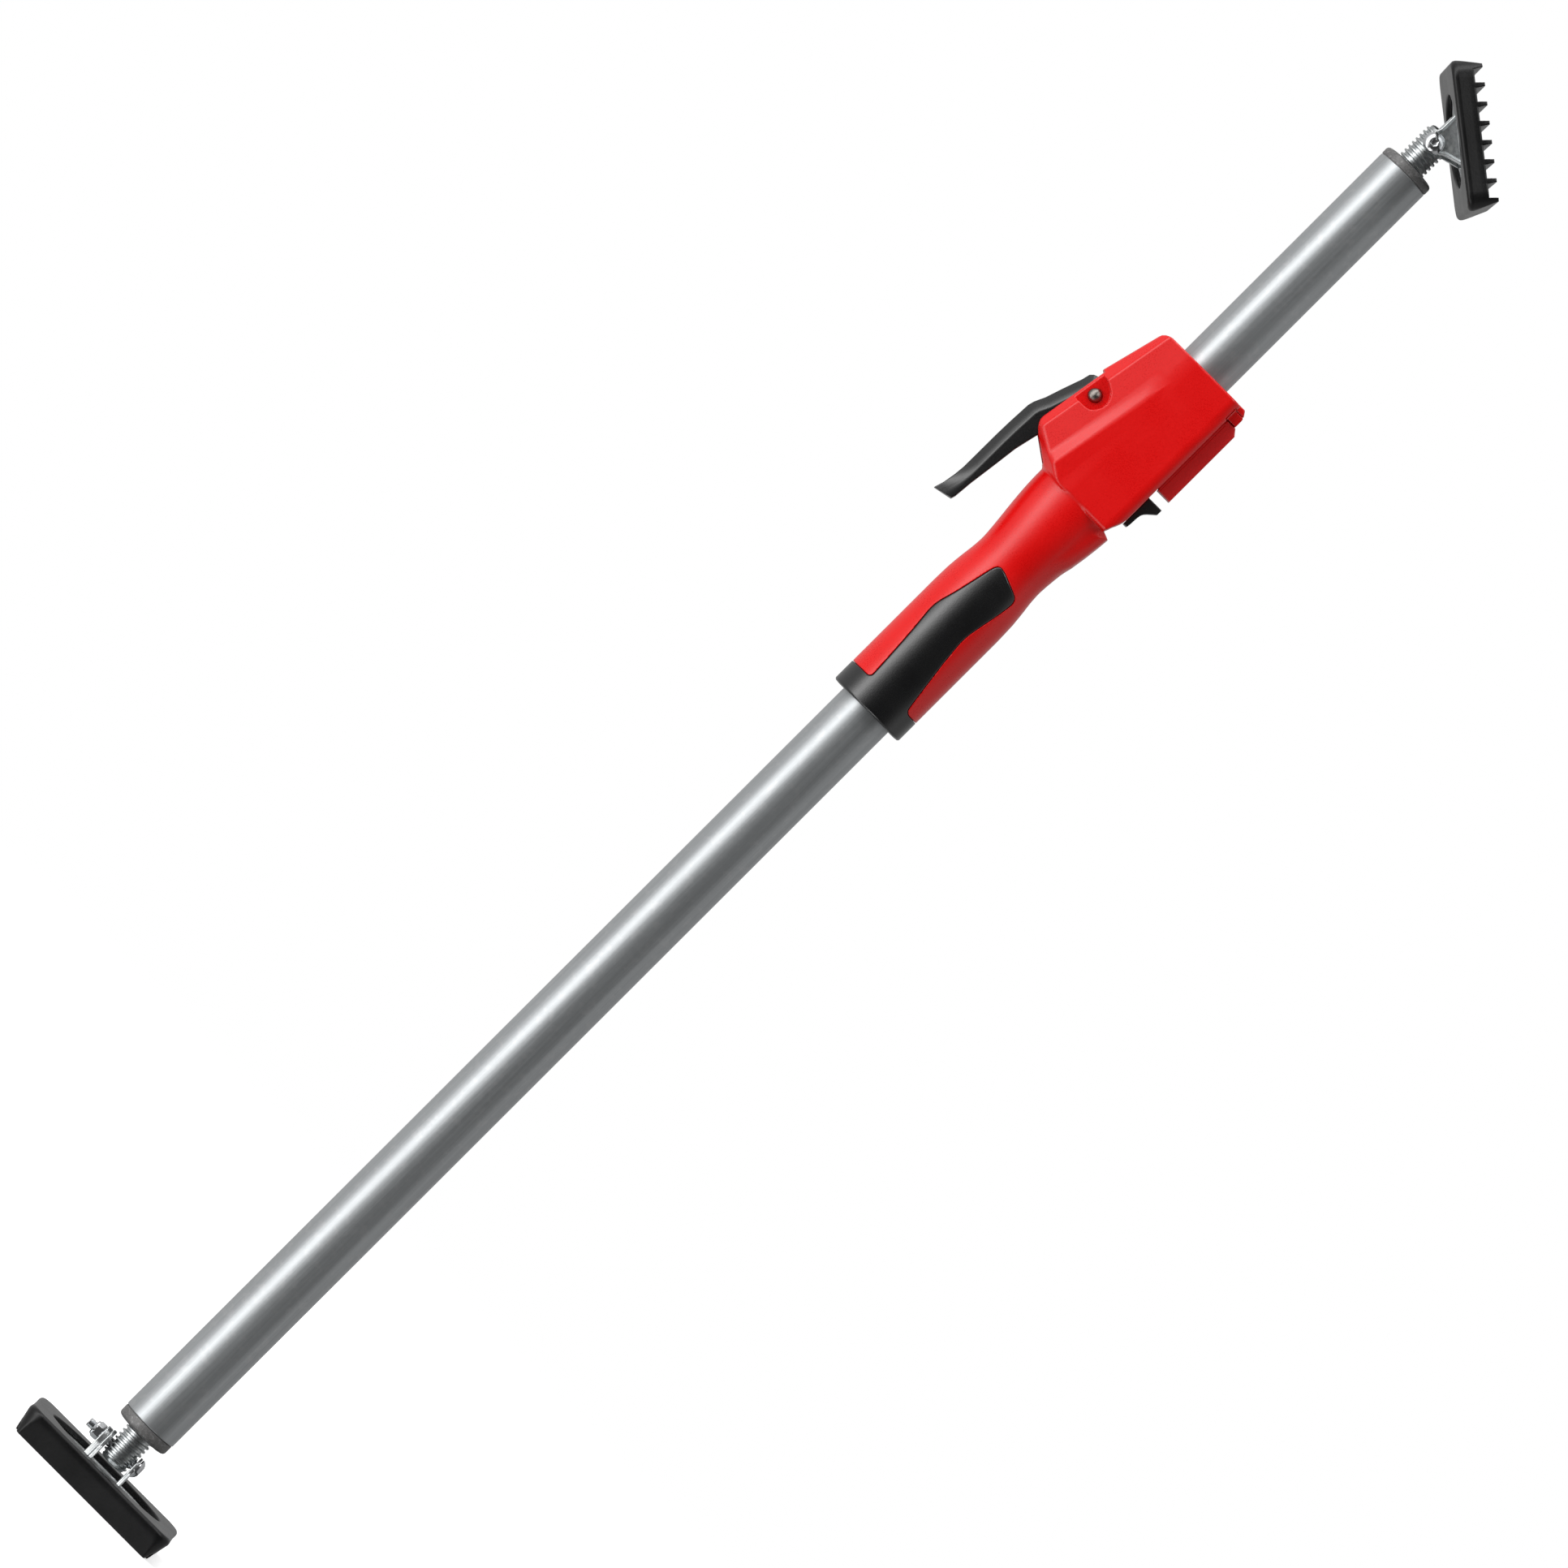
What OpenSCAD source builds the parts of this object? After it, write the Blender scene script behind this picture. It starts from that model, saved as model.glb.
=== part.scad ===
// Telescopic drywall support pole.
// Millimetres, +Z up along the pole. The origin is on the pole's axis, in the plane
// of the foot pad's rib tips. The lever is on the -X side and the button on the +X side.

/* [Tubes] */
// Outer diameter of the lower tube
lower_od = 30.2; // [30:0.1:30.2]
// Wall of the lower tube
lower_wall = 0.7; // [0.5:0.1:0.7]
// Outer diameter of the sliding upper tube
upper_od = 28.5; // [28.2:0.1:28.5]
// Wall of the upper tube
upper_wall = 1.0; // [0.8:0.1:1.2]
// Height of the upper tube's top end
upper_top = 894; // [880:1:960]
// Length of the upper tube
upper_len = 638; // [560:1:640]

/* [Pads] */
// Length of a pad, along its bolt
pad_len = 94; // [90:1:100]
// Width of a pad, across its ribs
pad_wid = 72.6; // [72.6:0.1:76]
// Thickness of a pad over its ribs
pad_h = 15.2; // [15:0.1:16]
// Number of gripping ribs
rib_count = 8; // [6:1:8]
// Spacing of the ribs
rib_pitch = 9.2; // [8:0.1:9.2]
// Height of the ribs
rib_h = 4.5; // [3:0.1:5]
// Height of the pivot bolt over the rib tips
pivot_h = 25; // [25:0.5:27]
// Tilt of the upper pad as drawn
head_tilt = 38; // [0:1:42]

/* [Spindles] */
// Crest diameter of the spindles
spindle_d = 16; // [15:0.1:16]
// Pitch of the spindle threads
spindle_pitch = 2.5; // [2:0.25:3]
// Diameter of the pivot bolts
bolt_d = 5; // [4:0.5:5]

/* [Grip and housing] */
// Height of the grip's lower end
grip_z = 530; // [500:1:532]
// Half depth of the pump housing, front to back
house_y = 21.5; // [21.5:0.1:23]
// Lean of the housing's left facets, in degrees
lean_deg = 12; // [11.5:0.1:12.5]
// Thickness of the soft grip inlay
inlay_t = 1.5; // [1:0.1:1.6]

/* [Mechanism] */
// Diameter of the lever's pin
lever_pin_d = 6.7; // [6:0.1:6.7]
// Rest tilt of the brake plate
brake_tilt = 4; // [2:0.5:4]
// Turns of the drive spring
drive_turns = 4; // [3:0.5:5]
// Wire diameter of the springs
wire_d = 1.3; // [1:0.1:1.3]

/* [Hidden] */
$fn = 64;

lower_r = lower_od / 2;
lower_ri = lower_r - lower_wall;
upper_r = upper_od / 2;
upper_ri = upper_r - upper_wall;
bush_r = upper_r + 0.08;
plug_z = 44.5;        // top of the foot collar, where the lower tube starts
tube_top = 668;       // mouth of the lower tube, inside the housing
house_z = 672;
house_top = 760;
cav_z = [684, 744];
part_z = [718, 720.4];
pin_x = -29.1;
pin_z = 714;
hinge_x = 26.4;
hinge_z = 754.8;
brake_x = -19;        // fulcrum of the brake plate
brake_z = 704;
bolt_r = bolt_d / 2;
spin_r = spindle_d / 2;
head_z = upper_top + 20.5;   // upper pivot
plate_z = [10.2, 12.4];      // pressure plate inside a pad
lever_y = 8.2;
slot_y = 8.8;

red = [0.86, 0.05, 0.05];
black = [0.09, 0.09, 0.09];
steel = [0.72, 0.73, 0.74];
grey = [0.36, 0.36, 0.36];

// ---------- helpers ----------
// A profile in X and Z, extruded along Y
module xz(y0, y1) translate([0, y1, 0]) rotate([90, 0, 0])
  linear_extrude(y1 - y0) children();
// A profile in Y and Z, extruded along X
module yz(x0, x1) translate([x0, 0, 0]) rotate([90, 0, 90])
  linear_extrude(x1 - x0) children();
module cyl_y(r, y0, y1, x, z, fn = 48) translate([x, y1, z])
  rotate([90, 0, 0]) cylinder(r = r, h = y1 - y0, $fn = fn);
module cyl_x(r, x0, x1, y, z, fn = 48) translate([x0, y, z])
  rotate([0, 90, 0]) cylinder(r = r, h = x1 - x0, $fn = fn);
module ring(ro, ri, z0, z1) difference() {
  translate([0, 0, z0]) cylinder(r = ro, h = z1 - z0);
  translate([0, 0, z0 - 1]) cylinder(r = ri, h = z1 - z0 + 2);
}
module block(x0, x1, y0, y1, z0, z1)
  translate([x0, y0, z0]) cube([x1 - x0, y1 - y0, z1 - z0]);
module stadium(l, r, z0, z1) {
  for (s = [-1, 1]) translate([s * (l - r), 0, z0]) cylinder(r = r, h = z1 - z0);
  block(-(l - r), l - r, -r, r, z0, z1);
}
// Places the pad assembly, drawn standing on its rib tips, on the upper spindle
module at_head() translate([0, 0, head_z]) rotate([0, head_tilt, 0])
  rotate([0, 0, -90]) rotate([180, 0, 0]) translate([0, 0, -pivot_h]) children();

// ---------- pad assembly, drawn at the foot ----------
rib_y0 = -rib_pitch * (rib_count - 1) / 2;
rib_pts = [for (i = [0 : rib_count - 1]) let (y = rib_y0 + i * rib_pitch) each
  [if (i > 0) [y - 1.35, rib_h], [y - 0.9, 0], [y + 0.9, 0],
   if (i < rib_count - 1) [y + 1.35, rib_h]]];
module pad_cover() difference() {
  intersection() {
    xz(-60, 60) polygon([[-pad_len/2 + 2.7, 0], [pad_len/2 - 2.7, 0],
      [pad_len/2, pad_h - 3], [pad_len/2 - 0.8, pad_h - 1], [pad_len/2 - 2.4, pad_h],
      [-pad_len/2 + 2.4, pad_h], [-pad_len/2 + 0.8, pad_h - 1], [-pad_len/2, pad_h - 3]]);
    yz(-60, 60) polygon(concat(rib_pts, [[pad_wid/2, pad_h - 2.8],
      [pad_wid/2 - 0.9, pad_h - 0.8], [pad_wid/2 - 2.5, pad_h],
      [-pad_wid/2 + 2.5, pad_h], [-pad_wid/2 + 0.9, pad_h - 0.8],
      [-pad_wid/2, pad_h - 2.8]]));
    union() {
      block(-pad_len/2, pad_len/2, -pad_wid/2 + 7, pad_wid/2 - 7, -1, pad_h + 1);
      block(-pad_len/2 + 7, pad_len/2 - 7, -pad_wid/2, pad_wid/2, -1, pad_h + 1);
      for (x = [-1, 1], y = [-1, 1])
        translate([x * (pad_len/2 - 7), y * (pad_wid/2 - 7), -1])
          cylinder(r = 7, h = pad_h + 2);
    }
  }
  stadium(36, 22.5, plate_z[1] - 0.01, pad_h + 1);
  stadium(39.5, 25, plate_z[0], plate_z[1]);
}
ear_pts = [[-13.3, plate_z[1] - 0.5], [13.3, plate_z[1] - 0.5],
  [6.3, pivot_h + 2], [-6.3, pivot_h + 2]];
module ear(x0, x1, r0, r1) {
  yz(x0, x1) { polygon(ear_pts); translate([0, pivot_h]) circle(r = 6.6); }
  // the bent rims along both edges
  for (s = [-1, 1]) yz(r0, r1) polygon([[s * 13.3, plate_z[1] - 0.5],
    [s * 11.2, plate_z[1] - 0.5], [s * 5.1, pivot_h], [s * 7.25, pivot_h]]);
}
module bracket() difference() {
  union() {
    stadium(39.3, 24.8, plate_z[0], plate_z[1]);
    ear(8.4, 9.9, 8.4, 10.8);
    ear(-13.4, -11.9, -13.4, -8.5);
  }
  cyl_x(bolt_r, -20, 20, 0, pivot_h);
}
module pivot_bolt() translate([0, 0, pivot_h]) rotate([0, 90, 0]) rotate_extrude()
  polygon(concat([[0, -22], [bolt_r - 0.5, -22]],
    [for (i = [0 : 3]) each [[bolt_r, -21.5 + i * 0.9], [bolt_r - 0.35, -21.05 + i * 0.9]]],
    [[bolt_r, -17.9], [bolt_r, 9.9], [5.3, 9.9], [5.3, 10.7], [4.9, 11.7],
     [3.9, 12.5], [2.4, 13], [0, 13.15]]));
module locknut() difference() {
  union() {
    cyl_x(4.62, -17.3, -13.4, 0, pivot_h, 6);
    translate([-18.5, 0, pivot_h]) rotate([0, 90, 0])
      cylinder(r1 = 3.1, r2 = 4.0, h = 1.2, $fn = 48);
  }
  cyl_x(bolt_r, -20, -10, 0, pivot_h);
}
// Spindle from its pad end, t upwards: ring thread, journal and clip groove
thread_n = floor(76 / spindle_pitch);
module spindle() difference() {
  rotate_extrude() polygon(concat([[0, 0], [spin_r - 1.3, 0], [spin_r - 1.3, 1]],
    [for (i = [0 : thread_n - 1]) let (t = 1.2 + i * spindle_pitch) each
      [[spin_r, t + 0.35], [spin_r, t + 0.8], [spin_r - 1.25, t + 1.3],
       [spin_r - 1.25, t + spindle_pitch - 0.1]]],
    [[spin_r - 1.25, 80], [6, 80], [6, 88.7], [5.2, 88.7], [5.2, 89.8], [6, 89.8],
     [6, 91.2], [5.2, 92], [0, 92]]));
  cyl_x(bolt_r + 0.08, -12, 12, 0, 7);
}
module guide_ring(ro) difference() {
  union() {
    translate([0, 0, 80.3]) cylinder(r1 = ro - 0.8, r2 = ro, h = 1);
    translate([0, 0, 81.3]) cylinder(r = ro, h = 6.1);
    translate([0, 0, 87.4]) cylinder(r1 = ro, r2 = ro - 0.8, h = 1);
  }
  translate([0, 0, 79]) cylinder(r = 6.06, h = 11);
}
module circlip() difference() {
  ring(7.8, 5.2, 88.75, 89.75);
  block(0, 12, -1.6, 1.6, 88, 91);
}
module end_plug(r_collar, h_collar, r_sleeve, h_sleeve) difference() {
  rotate_extrude() polygon([[0, 0], [r_collar - 1.5, 0], [r_collar - 0.5, 0.45],
    [r_collar, 1.4], [r_collar, h_collar], [r_sleeve, h_collar],
    [r_sleeve, h_collar + h_sleeve - 1.5], [r_sleeve - 1, h_collar + h_sleeve],
    [0, h_collar + h_sleeve]]);
  translate([0, 0, -1]) cylinder(r = spin_r + 0.08, h = 60);
}

module foot_pad_cover() color(black) pad_cover();
module foot_bracket() color(steel) bracket();
module foot_bolt() color(steel) pivot_bolt();
module foot_locknut() color(steel) locknut();
module foot_spindle() color(steel) translate([0, 0, pivot_h - 7]) spindle();
module foot_guide_ring() color("ivory") translate([0, 0, pivot_h - 7]) guide_ring(lower_ri - 0.08);
module foot_circlip() color(grey) translate([0, 0, pivot_h - 7]) circlip();
module foot_end_plug() color(grey) translate([0, 0, plug_z - 6.2])
  end_plug(14.85, 6.2, lower_ri, 21.5);
module lower_tube() color(steel) ring(lower_r, lower_ri, plug_z, tube_top);

// ---------- upper tube ----------
module upper_tube() color(steel) ring(upper_r, upper_ri, upper_top - upper_len, upper_top);
module tube_glide_ring() color("ivory") difference() {
  union() {
    translate([0, 0, upper_top - upper_len - 6]) cylinder(r = lower_ri - 0.08, h = 6);
    translate([0, 0, upper_top - upper_len]) cylinder(r = upper_ri, h = 12);
  }
  translate([0, 0, upper_top - upper_len - 10]) cylinder(r = upper_ri - 1.6, h = 30);
}
module head_end_plug() color(grey) translate([0, 0, upper_top + 5]) mirror([0, 0, 1])
  end_plug(upper_r + 0.1, 5, upper_ri, 22);
module on_head_spindle() translate([0, 0, head_z + 7]) mirror([0, 0, 1]) rotate([0, 0, 90]) children();
module head_spindle() color(steel) on_head_spindle() spindle();
module head_guide_ring() color("ivory") on_head_spindle() guide_ring(upper_ri - 0.08);
module head_circlip() color(grey) on_head_spindle() circlip();
module head_bracket() color(steel) at_head() bracket();
module head_bolt() color(steel) at_head() pivot_bolt();
module head_locknut() color(steel) at_head() locknut();
module head_pad_cover() color(black) at_head() pad_cover();

// ---------- grip and housing ----------
// Radius of the grip at each height
grip_pts = [[grip_z, 20.6], [grip_z + 1, 21.4], [598, 21.4], [608, 21.1], [616, 20.3],
  [622, 19.5], [628, 19.1], [634, 19.5], [641, 20.2], [650, 21.2], [658, 21.9],
  [666, 22.3], [674, 22.3]];
module grip_round(inset) rotate_extrude($fn = 96)
  polygon(concat([[0, grip_z - inset * 4]],
    [[grip_pts[0][1] - inset, grip_z - inset * 4]],
    [for (p = grip_pts) [p[1] - inset, p[0]]], [[0, 674]]));
// Side view of the soft inlay's tongue
tongue = [[-9.9, 541], [-9.9, 544.5], [-10.6, 557.5], [-11.6, 572.5], [-12.8, 584.5],
  [-12.6, 589.5], [-9.6, 601.5], [-7.1, 612.5], [-5.1, 621.5], [-3.1, 623.8],
  [0.4, 623.3], [12.4, 618.5], [13.9, 615.5], [12.9, 607.5], [10.9, 597.5],
  [9.3, 587.5], [9.3, 583.5], [10.4, 572.5], [12.4, 557.5], [13.9, 546.5],
  [15.4, 543], [15.4, 541]];
module inlay() intersection() {
  difference() { grip_round(0); grip_round(inlay_t); }
  union() {
    block(-30, 30, -30, 30, grip_z - 20, grip_z + 12.5);
    for (s = [0, 1]) mirror([0, s, 0]) xz(-30, -8) polygon(tongue);
  }
}
// Outline of the pump housing, seen from the front
head_pts = [[-22.6, house_top], [-27.1, house_top - 3], [-35.1, 726], [-33.9, 725.2],
  [-39.9, 689.5], [-39.3, 686.5], [-37.6, 684], [-35.6, 681.6], [-22.1, house_z],
  [19.9, 671.2], [21.2, 674.5], [23.8, 681], [23.8, house_top]];
// The leaning facets on the lever side: distance across the lean, and half depth
sec_out = [[60, house_y], [-18.5, house_y], [-23.1, 19.8], [-34.8, 13.9], [-38.6, 12.2],
  [-45, 11.4]];
sec_in = [[60, house_y - 3], [-17.5, house_y - 3], [-21.8, 17], [-33.2, 10.6], [-45, 9.4]];
module lean(sec) translate([0, 0, 690]) rotate([0, lean_deg, 0]) translate([0, 0, -60])
  linear_extrude(200) polygon(concat(sec,
    [for (i = [len(sec) - 1 : -1 : 0]) [sec[i][0], -sec[i][1]]]));
module head_solid() intersection() {
  xz(-30, 30) polygon(head_pts);
  lean(sec_out);
  union() {
    block(-60, 17.8, -house_y, house_y, 660, 770);
    block(-60, 23.8, -house_y + 6, house_y - 6, 660, 770);
    for (s = [-1, 1]) translate([17.8, s * (house_y - 6), 660]) cylinder(r = 6, h = 110);
  }
}
module cavity() {
  intersection() {
    union() for (z = [[cav_z[0], part_z[0]], [part_z[1], cav_z[1]]])
      intersection() {
        xz(-18.5, 18.5) polygon([[-36, 684], [-36, 690], [-31.5, 720], [-25, 744],
          [20.8, 744], [20.8, 684]]);
        block(-60, 60, -30, 30, z[0], z[1]);
      }
    lean(sec_in);
  }
  // the lever's slot, open to the left and down to the grip
  block(-60, -16, -slot_y, slot_y, cav_z[0], 725.2);
  block(-60, -23.8, -slot_y, slot_y, 655, cav_z[0] + 1);
  // the button's slot and the lock slide's slot
  block(19.4, 26, -8.4, 8.4, 702.7, 751.3);
  block(20, 26, -2.9, 2.9, 684.5, 698.5);
}
screw_xz = [[-20, 752], [19.6, 752], [-19, 677], [19, 677], [-18.4, 575], [18.4, 575]];
module shell_solid() difference() {
  union() {
    head_solid();
    grip_round(0);
    // finger lip under the housing
    xz(-9, 9) polygon([[15, 671], [19.5, 671], [24.2, 669.5], [23.3, 664], [21.5, 656], [15, 652]]);
    // hinge boss over the button
    xz(-9, 9) polygon([[20, 751.4], [29.4, 751.4], [29.2, 757], [26.8, house_top], [20, house_top]]);
  }
  inlay();
  translate([0, 0, grip_z - 10]) cylinder(r = lower_r, h = tube_top - grip_z + 10);
  translate([0, 0, tube_top - 0.5]) cylinder(r = 16.2, h = 14.5);
  translate([0, 0, 680]) cylinder(r = 15.2, h = 90);
  translate([0, 0, 746]) cylinder(r = 17, h = 12);
  cavity();
  cyl_y(lever_pin_d/2, -13.6, 13.6, pin_x, pin_z);
  // teardrop wells round the pin's ends
  for (s = [0, 1]) mirror([0, s, 0]) xz(-30, -11.6) polygon([[-30.6, 723.5], [-24.1, 719.5],
    [-22.1, 714.5], [-23.6, 709.5], [-27.1, 706.5], [-34.6, 706.5]]);
  block(22.8, 31, -4.2, 4.2, 749, 758.5);
  cyl_y(1.5, -8.4, 8.4, hinge_x, hinge_z, 32);
  for (p = screw_xz) {
    cyl_y(1.5, -7, 8, p[0], p[1], 32);
    cyl_y(2.9, 8, 30, p[0], p[1], 32);
  }
}
module fulcrum() for (s = [-1, 1])
  translate([0, s * 12.2, 0]) block(-24, -17.5, -2.6, 2.6, 697, 701.6);
module housing_front() color(red) {
  intersection() { shell_solid(); block(-60, 60, -40, 0, 500, 800); }
  intersection() { fulcrum(); block(-60, 60, -40, 0, 500, 800); }
}
module housing_rear() color(red) {
  intersection() { shell_solid(); block(-60, 60, 0, 40, 500, 800); }
  intersection() { fulcrum(); block(-60, 60, 0, 40, 500, 800); }
}
module housing_screws() color(grey) for (p = screw_xz) {
  cyl_y(1.5, -7, 8, p[0], p[1], 32);
  difference() {
    cyl_y(2.7, 8, 10.3, p[0], p[1], 32);
    cyl_y(1.3, 9, 11, p[0], p[1], 6);
  }
}
module grip_overmould() color(black) difference() {
  inlay();
  translate([0, 0, grip_z - 10]) cylinder(r = lower_r, h = 40);
}
module lower_guide_bush() color("ivory") ring(16.2, bush_r, tube_top, 682);
module upper_guide_bush() color("ivory") ring(17, bush_r, 746, 758);

// ---------- mechanism ----------
module brake_plate() color(grey) translate([brake_x, 0, brake_z]) rotate([0, brake_tilt, 0])
  translate([-brake_x, 0, 0]) difference() {
    union() {
      translate([0, 0, -2]) linear_extrude(4) polygon([[-21.5, -14.8], [-19, -16.2],
        [-13.5, -17.5], [18.8, -17.5], [18.8, 17.5], [-13.5, 17.5], [-19, 16.2], [-21.5, 14.8]]);
      block(17.4, 18.8, -5.5, 5.5, 1, 12);
    }
    translate([0, 0, -5]) cylinder(r = 14.65, h = 10);
  }
module drive_plate() color(grey) difference() {
  translate([0, 0, 722]) linear_extrude(5) polygon([[-24.5, -9], [-15, -15], [-9.5, -17.5],
    [19.5, -17.5], [19.5, 17.5], [-9.5, 17.5], [-15, 15], [-24.5, 9]]);
  translate([0, 0, 720]) cylinder(r = 14.6, h = 10);
}
// Coil of round wire with closed ends, computed along its helix
module coil(r, z0, z1, turns) {
  seg = 20; sides = 8; n = seg * turns; w = wire_d / 2;
  function rise(i) = let (u = i / n, a = 0.14)
    u < a ? 0 : u > 1 - a ? 1 : (u - a) / (1 - 2 * a);
  pts = [for (i = [0 : n]) let (a = 360 * i / seg, z = z0 + w + (z1 - z0 - 2 * w) * rise(i))
    for (k = [0 : sides - 1]) let (b = 360 * k / sides)
      [(r + w * cos(b)) * cos(a), (r + w * cos(b)) * sin(a), z + w * sin(b)]];
  faces = concat([[for (k = [0 : sides - 1]) k]],
    [for (i = [0 : n - 1]) for (k = [0 : sides - 1]) let (m = (k + 1) % sides)
      [i * sides + k, (i + 1) * sides + k, (i + 1) * sides + m, i * sides + m]],
    [[for (k = [sides - 1 : -1 : 0]) n * sides + k]]);
  polyhedron(pts, faces, convexity = 6);
}
module brake_spring() color(steel) coil(16.4, 706.9, 717.6, 2.75);
module drive_spring() color(steel) coil(16.4, 727.3, 743.7, drive_turns);

// Outer line of the lever's back, from the pivot to the tip
lever_back = [[-35.1, 721.5], [-38.1, 720], [-39.1, 715.5], [-42.6, 705.5], [-48.6, 689.5],
  [-49.5, 667.5], [-49.6, 645.5], [-50.6, 635.5], [-52.9, 628.5]];
lever_in = [[-43.1, 630.7], [-42.6, 632.5], [-41.6, 642.5], [-39.6, 657.5], [-38.1, 669.5],
  [-35.6, 680.5], [-30, 700], [-24.5, 709.5], [-23.2, 714], [-24.5, 719], [-30, 722]];
function dirn(a, b) = (b - a) / norm(b - a);
function inward(pts, t) = [for (i = [0 : len(pts) - 1])
  let (d = dirn(pts[max(i - 1, 0)], pts[min(i + 1, len(pts) - 1)]))
  pts[i] + t * [-d[1], d[0]]];
function back_to_front(p) = [for (i = [len(p) - 1 : -1 : 0]) p[i]];
module pump_lever() color(black) difference() {
  union() {
    xz(-lever_y, lever_y) polygon(concat(lever_back, back_to_front(inward(lever_back, 2.2))));
    for (s = [0, 1]) mirror([0, s, 0])
      xz(-lever_y, -lever_y + 1.8) polygon(concat(lever_back, lever_in));
    // solid tip
    xz(-lever_y, lever_y) polygon([[-52.9, 628.5], [-43.1, 630.7], [-42.6, 632.5], [-50.9, 633.5]]);
    // hub and cam nose that lifts the drive plate
    xz(-lever_y + 1, lever_y - 1) {
      translate([pin_x, pin_z]) circle(r = 5.6);
      polygon([[-32, 718.2], [-23.5, 721.7], [-17.9, 721.7], [-17.9, 716.2], [-24, 711],
        [-29, 708.6]]);
    }
  }
  cyl_y(lever_pin_d/2 + 0.06, -20, 20, pin_x, pin_z);
}
module lever_pin() color(steel) translate([pin_x, 0, pin_z]) rotate([90, 0, 0]) rotate_extrude()
  polygon([[0, -14.9], [1.4, -14.7], [lever_pin_d/2 - 0.5, -13.9], [lever_pin_d/2, -13.2],
    [lever_pin_d/2, 13.2], [lever_pin_d/2 - 0.5, 13.9], [1.4, 14.7], [0, 14.9]]);
module release_button() color([0.7, 0.1, 0.12]) difference() {
  union() {
    xz(-8, 8) polygon([[24.1, 703.2], [32.3, 703.2], [32.3, 747.6], [29.6, 750.9], [24.1, 750.9]]);
    xz(-7.6, 7.6) polygon([[22.4, 707.5], [24.3, 703.4], [24.3, 750.9], [23, 749], [22.4, 745]]);
    xz(-3.9, 3.9) {
      translate([hinge_x, hinge_z]) circle(r = 2.6);
      polygon([[24.4, 748], [29, 748], [29, hinge_z], [24.2, hinge_z]]);
    }
  }
  cyl_y(1.56, -6, 6, hinge_x, hinge_z, 32);
}
module button_pin() color(steel) cyl_y(1.5, -8.4, 8.4, hinge_x, hinge_z, 32);
module lock_slide() color(black) union() {
  xz(-6, 6) polygon([[24.1, 680.3], [26.2, 680.3], [26.6, 681.3], [26.6, 687.5], [27.4, 691],
    [30.4, 693.5], [32.6, 694.5], [32.6, 698], [24.1, 698]]);
  block(20.3, 24.3, -2.6, 2.6, 685, 693);
  block(18.4, 20.5, -5, 5, 685, 694);
}

foot_pad_cover();
foot_bracket();
foot_bolt();
foot_locknut();
foot_spindle();
foot_guide_ring();
foot_circlip();
foot_end_plug();
lower_tube();
housing_front();
housing_rear();
housing_screws();
grip_overmould();
lower_guide_bush();
upper_guide_bush();
brake_plate();
brake_spring();
drive_plate();
drive_spring();
pump_lever();
lever_pin();
release_button();
button_pin();
lock_slide();
upper_tube();
tube_glide_ring();
head_end_plug();
head_spindle();
head_guide_ring();
head_circlip();
head_bracket();
head_bolt();
head_locknut();
head_pad_cover();
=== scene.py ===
import math
import bpy
import numpy as np
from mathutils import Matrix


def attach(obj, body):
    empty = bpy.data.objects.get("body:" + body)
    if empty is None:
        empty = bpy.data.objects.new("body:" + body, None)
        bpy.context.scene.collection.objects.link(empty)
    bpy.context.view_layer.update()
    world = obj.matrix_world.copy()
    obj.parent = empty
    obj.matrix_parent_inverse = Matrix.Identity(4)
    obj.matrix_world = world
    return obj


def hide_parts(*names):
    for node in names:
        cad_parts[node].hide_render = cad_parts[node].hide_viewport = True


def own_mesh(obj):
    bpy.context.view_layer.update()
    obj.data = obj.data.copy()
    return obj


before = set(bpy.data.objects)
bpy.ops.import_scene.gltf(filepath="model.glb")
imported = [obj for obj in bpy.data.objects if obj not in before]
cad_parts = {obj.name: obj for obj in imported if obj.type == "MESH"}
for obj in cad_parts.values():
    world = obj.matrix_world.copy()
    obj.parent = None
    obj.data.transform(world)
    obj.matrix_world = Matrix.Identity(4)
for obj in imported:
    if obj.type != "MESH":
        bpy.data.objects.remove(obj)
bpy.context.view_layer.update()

from concurrent.futures import ThreadPoolExecutor
from mathutils import Matrix, Vector

MM = 0.001
sc = bpy.context.scene

# ------------------------------------------------------------------ mesh tools
# Signed distances in millimetres, negative inside. They take arrays that broadcast.


def rmax(a, b, r):
    """Intersection of two bodies with their common edge rounded to r."""
    if r <= 0:
        return np.maximum(a, b)
    u, v = np.maximum(a + r, 0), np.maximum(b + r, 0)
    return np.minimum(-r, np.maximum(a, b)) + np.sqrt(u * u + v * v)


def rmin(a, b, r):
    """Union of two bodies with a fillet of r between them."""
    if r <= 0:
        return np.minimum(a, b)
    u, v = np.maximum(r - a, 0), np.maximum(r - b, 0)
    return np.maximum(r, np.minimum(a, b)) - np.sqrt(u * u + v * v)


def cut(a, b, r=0.0):
    return rmax(a, -b, r)


def poly(px, py, pts):
    """Exact distance to a closed polygon in two of the axes."""
    px, py = np.broadcast_arrays(np.asarray(px, float), np.asarray(py, float))
    best = np.full(px.shape, 1e9)
    sign = np.ones(px.shape)
    n = len(pts)
    for i in range(n):
        ax, ay = pts[i]
        bx, by = pts[(i + 1) % n]
        ex, ey = bx - ax, by - ay
        wx, wy = px - ax, py - ay
        t = np.clip((wx * ex + wy * ey) / (ex * ex + ey * ey), 0, 1)
        dx, dy = wx - ex * t, wy - ey * t
        best = np.minimum(best, dx * dx + dy * dy)
        c1, c2, c3 = py >= ay, py < by, ex * wy > ey * wx
        flip = (c1 & c2 & c3) | (~c1 & ~c2 & ~c3)
        sign = np.where(flip, -sign, sign)
    return sign * np.sqrt(best)


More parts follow.
